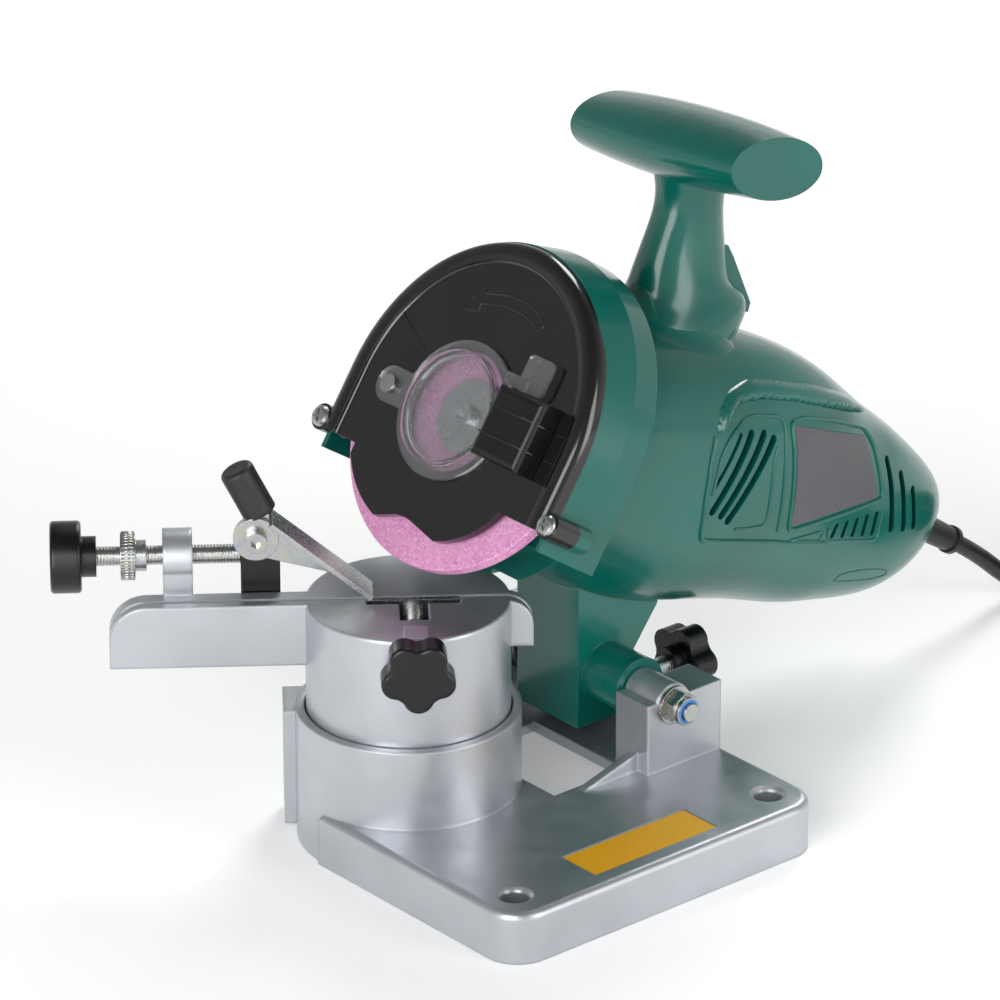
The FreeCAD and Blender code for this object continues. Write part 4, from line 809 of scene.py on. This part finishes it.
def addCoverRim(setup):
    sections = []
    for i in range(setup["steps"] + 1):
        angle = math.pi * i / setup["steps"]
        sections.append([onHood(-(setup["half"] + d) * math.cos(angle), (setup["top"] + d) * math.sin(angle), o)
                         for d, o in setup["profile"]])
    for side, at in ((-1, 0), (1, len(sections) + 1)):
        sections.insert(at, [onHood(side * (setup["half"] + d), -setup["skirt"], o) for d, o in setup["profile"]])
    wide = len(setup["profile"])
    places = [p for section in sections for p in section]
    faces = []
    for i in range(len(sections) - 1):
        for k in range(wide):
            m = (k + 1) % wide
            faces.append((i * wide + k, i * wide + m, (i + 1) * wide + m, (i + 1) * wide + k))
    faces += [tuple(range(wide)), tuple(range(len(places) - 1, len(places) - 1 - wide, -1))]
    mesh = bpy.data.meshes.new("coverRim")
    mesh.from_pydata(places, [], faces)
    shaped = bmesh.new()
    shaped.from_mesh(mesh)
    bmesh.ops.recalc_face_normals(shaped, faces=shaped.faces)
    shaped.to_mesh(mesh)
    shaped.free()
    keep("coverRim", mesh, blackAbs, "head")
    mesh.set_sharp_from_angle(angle=math.radians(setup["sharpFrom"]))


addCoverRim(rimSetup)


# pan head screws with a cross recess, one at each foot of the cover
screwSetup = {"radius": 3.55, "rise": 2.1, "cross": 0.85, "arm": 2.2, "deep": 1.1, "turned": 20, "steps": 32,
              "seat": 7.8}


def crossHead(setup):
    shaped = bmesh.new()
    radius, rise = setup["radius"] * mm, setup["rise"] * mm
    profile = [(0, rise), (radius * 0.55, rise * 0.96), (radius * 0.82, rise * 0.8), (radius * 0.96, rise * 0.5),
               (radius, rise * 0.22), (radius, 0), (0, 0)]
    verts = [shaped.verts.new((x, 0, z)) for x, z in profile]
    edges = [shaped.edges.new(pair) for pair in zip(verts, verts[1:])]
    bmesh.ops.spin(shaped, geom=verts + edges, cent=(0, 0, 0), axis=(0, 0, 1), angle=2 * math.pi,
                   steps=setup["steps"], use_merge=True)
    bmesh.ops.remove_doubles(shaped, verts=shaped.verts, dist=1e-6)
    bmesh.ops.recalc_face_normals(shaped, faces=shaped.faces)
    mesh = bpy.data.meshes.new("crossHead")
    shaped.to_mesh(mesh)
    shaped.free()
    head = bpy.data.objects.new("crossHead", mesh)
    bpy.context.scene.collection.objects.link(head)
    cutters = []
    for i in range(2):
        block = bmesh.new()
        bmesh.ops.create_cube(block, size=1.0)
        size = (setup["arm"] * 2 * mm, setup["cross"] * mm, setup["deep"] * 2 * mm)
        turn = Matrix.Rotation(math.radians(setup["turned"] + 90 * i), 3, "Z")
        bmesh.ops.scale(block, vec=size, verts=block.verts)
        bmesh.ops.rotate(block, matrix=turn, verts=block.verts)
        bmesh.ops.translate(block, vec=(0, 0, rise), verts=block.verts)
        shape = bpy.data.meshes.new("crossCut")
        block.to_mesh(shape)
        block.free()
        cutter = bpy.data.objects.new("crossCut", shape)
        bpy.context.scene.collection.objects.link(cutter)
        cutters.append(cutter)
        cut = head.modifiers.new("cut", "BOOLEAN")
        cut.object = cutter
        cut.solver = "EXACT"
    mesh = solidified(head)
    for cutter in cutters:
        bpy.data.objects.remove(cutter)
    return mesh


def addCoverScrews(setup, cover):
    source = bpy.data.objects.new("crossHeadSource", crossHead(setup))
    bpy.context.scene.collection.objects.link(source)
    sizes = {"Reach": cover["footAcross"] * mm}
    tree, group = newTree("coverScrewHeads", sizes)
    line = addNode(tree, "GeometryNodeMeshLine", {"Count": 2}, mode="END_POINTS")
    start = addNode(tree, "ShaderNodeCombineXYZ", {"X": group.outputs["Reach"]})
    back = addNode(tree, "ShaderNodeMath", {0: group.outputs["Reach"], 1: -1.0}, operation="MULTIPLY")
    end = addNode(tree, "ShaderNodeCombineXYZ", {"X": back.outputs[0]})
    tree.links.new(start.outputs[0], line.inputs["Start Location"])
    tree.links.new(end.outputs[0], line.inputs["Offset"])
    info = addNode(tree, "GeometryNodeObjectInfo", {"Object": source})
    copies = addNode(tree, "GeometryNodeInstanceOnPoints", {"Points": line.outputs[0],
                                                            "Instance": info.outputs["Geometry"]})
    mesh = grown(tree, copies.outputs[0], zinc, sizes)
    bpy.data.objects.remove(source)
    placed = Matrix((wheelAcross, wheelUp, wheelAxis)).transposed().to_4x4()
    mesh.transform(Matrix.Translation(onHood(0, cover["footUp"], setup["seat"])) @ placed)
    piece = keep("coverScrewHeads", mesh, zinc, "head", smooth=False)
    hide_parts("cover_screws")


addCoverScrews(screwSetup, coverSetup)


# dyed nylon insert of the pivot's lock nut: a small blue satin ring round the bolt's end
ringSetup = {"ring": 3.55, "radius": 0.6, "inFrom": 0.25, "steps": 40}


def dyedNylon():
    material, tree = startMaterial("nylonRing")
    skin = addNode(tree, "ShaderNodeBsdfPrincipled", {"Base Color": shade("#3f7fc4"), "Roughness": 0.45, "IOR": 1.53})
    return closeMaterial(material, tree, skin.outputs["BSDF"])


def addNylonRing(setup):
    low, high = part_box("pivot_nut")
    middle = (low + high) / 2
    ring = setup["ring"] * mm
    turns = [2 * math.pi * i / setup["steps"] for i in range(setup["steps"])]
    loop = [Vector((middle.x + ring * math.cos(a), low.y + setup["inFrom"] * mm, middle.z + ring * math.sin(a)))
            for a in turns]
    keep("nutNylonRing", beads([loop], setup["radius"], True), dyedNylon(), "base")


addNylonRing(ringSetup)
print("stage: small details")


# pale floor and soft studio light: each lamp's place, size and power
studio = {"floorTone": "#f7f7f7", "floorGlow": 0.22, "floorHalf": 6.0, "floorDrop": 0.0002,
          "sky": [(0.0, 0.9), (0.38, 0.38), (1.0, 0.16)],      # bright round the horizon, dimmer overhead
          "target": (0.05, 0.08, 0.09),
          "lamps": {"leftSoftbox": ((-1.25, -0.55, 0.55), (0.9, 1.1), 16.0),
                    "rightSoftbox": ((0.55, -1.5, 0.6), (0.8, 1.1), 12.0),
                    "rearSoftbox": ((1.1, 0.75, 1.2), (0.5, 1.1), 13.0)}}


def addStudio(setup):
    mesh = bpy.data.meshes.new("floor")
    side = setup["floorHalf"]
    mesh.from_pydata([(-side, -side, 0), (side, -side, 0), (side, side, 0), (-side, side, 0)], [], [(0, 1, 2, 3)])
    floor = bpy.data.objects.new("floor", mesh)
    floor.location.z = -setup["floorDrop"]
    bpy.context.scene.collection.objects.link(floor)
    material, tree = startMaterial("paleFloor")
    matte = addNode(tree, "ShaderNodeBsdfDiffuse", {"Color": shade(setup["floorTone"])})
    glow = addNode(tree, "ShaderNodeEmission", {"Color": (1, 1, 1, 1), "Strength": setup["floorGlow"]})
    both = addNode(tree, "ShaderNodeAddShader", {0: matte.outputs[0], 1: glow.outputs[0]})
    closeMaterial(material, tree, both.outputs[0])
    mesh.materials.append(material)
    world = bpy.data.worlds.new("studio")
    bpy.context.scene.world = world
    world.use_nodes = True
    tree = world.node_tree
    tree.nodes.clear()
    up = addNode(tree, "ShaderNodeSeparateXYZ", {0: addNode(tree, "ShaderNodeTexCoord").outputs["Generated"]})
    ramp = addNode(tree, "ShaderNodeValToRGB", {"Fac": up.outputs["Z"]})
    bar = ramp.color_ramp
    bar.elements.new(0.5)
    for element, (at, level) in zip(bar.elements, setup["sky"]):
        element.position = at
        element.color = (level, level, level, 1.0)
    sky = addNode(tree, "ShaderNodeBackground", {"Color": ramp.outputs["Color"], "Strength": 1.0})
    addNode(tree, "ShaderNodeOutputWorld", {"Surface": sky.outputs[0]})
    target = Vector(setup["target"])
    for name, (place, size, power) in setup["lamps"].items():
        light = bpy.data.lights.new(name, "AREA")
        light.shape = "RECTANGLE"
        light.size, light.size_y = size
        light.energy = power
        lamp = bpy.data.objects.new(name, light)
        lamp.location = place
        lamp.rotation_euler = (target - Vector(place)).to_track_quat("-Z", "Y").to_euler()
        bpy.context.scene.collection.objects.link(lamp)
    bpy.context.scene.view_settings.view_transform = "Standard"


addStudio(studio)
print("stage: studio")
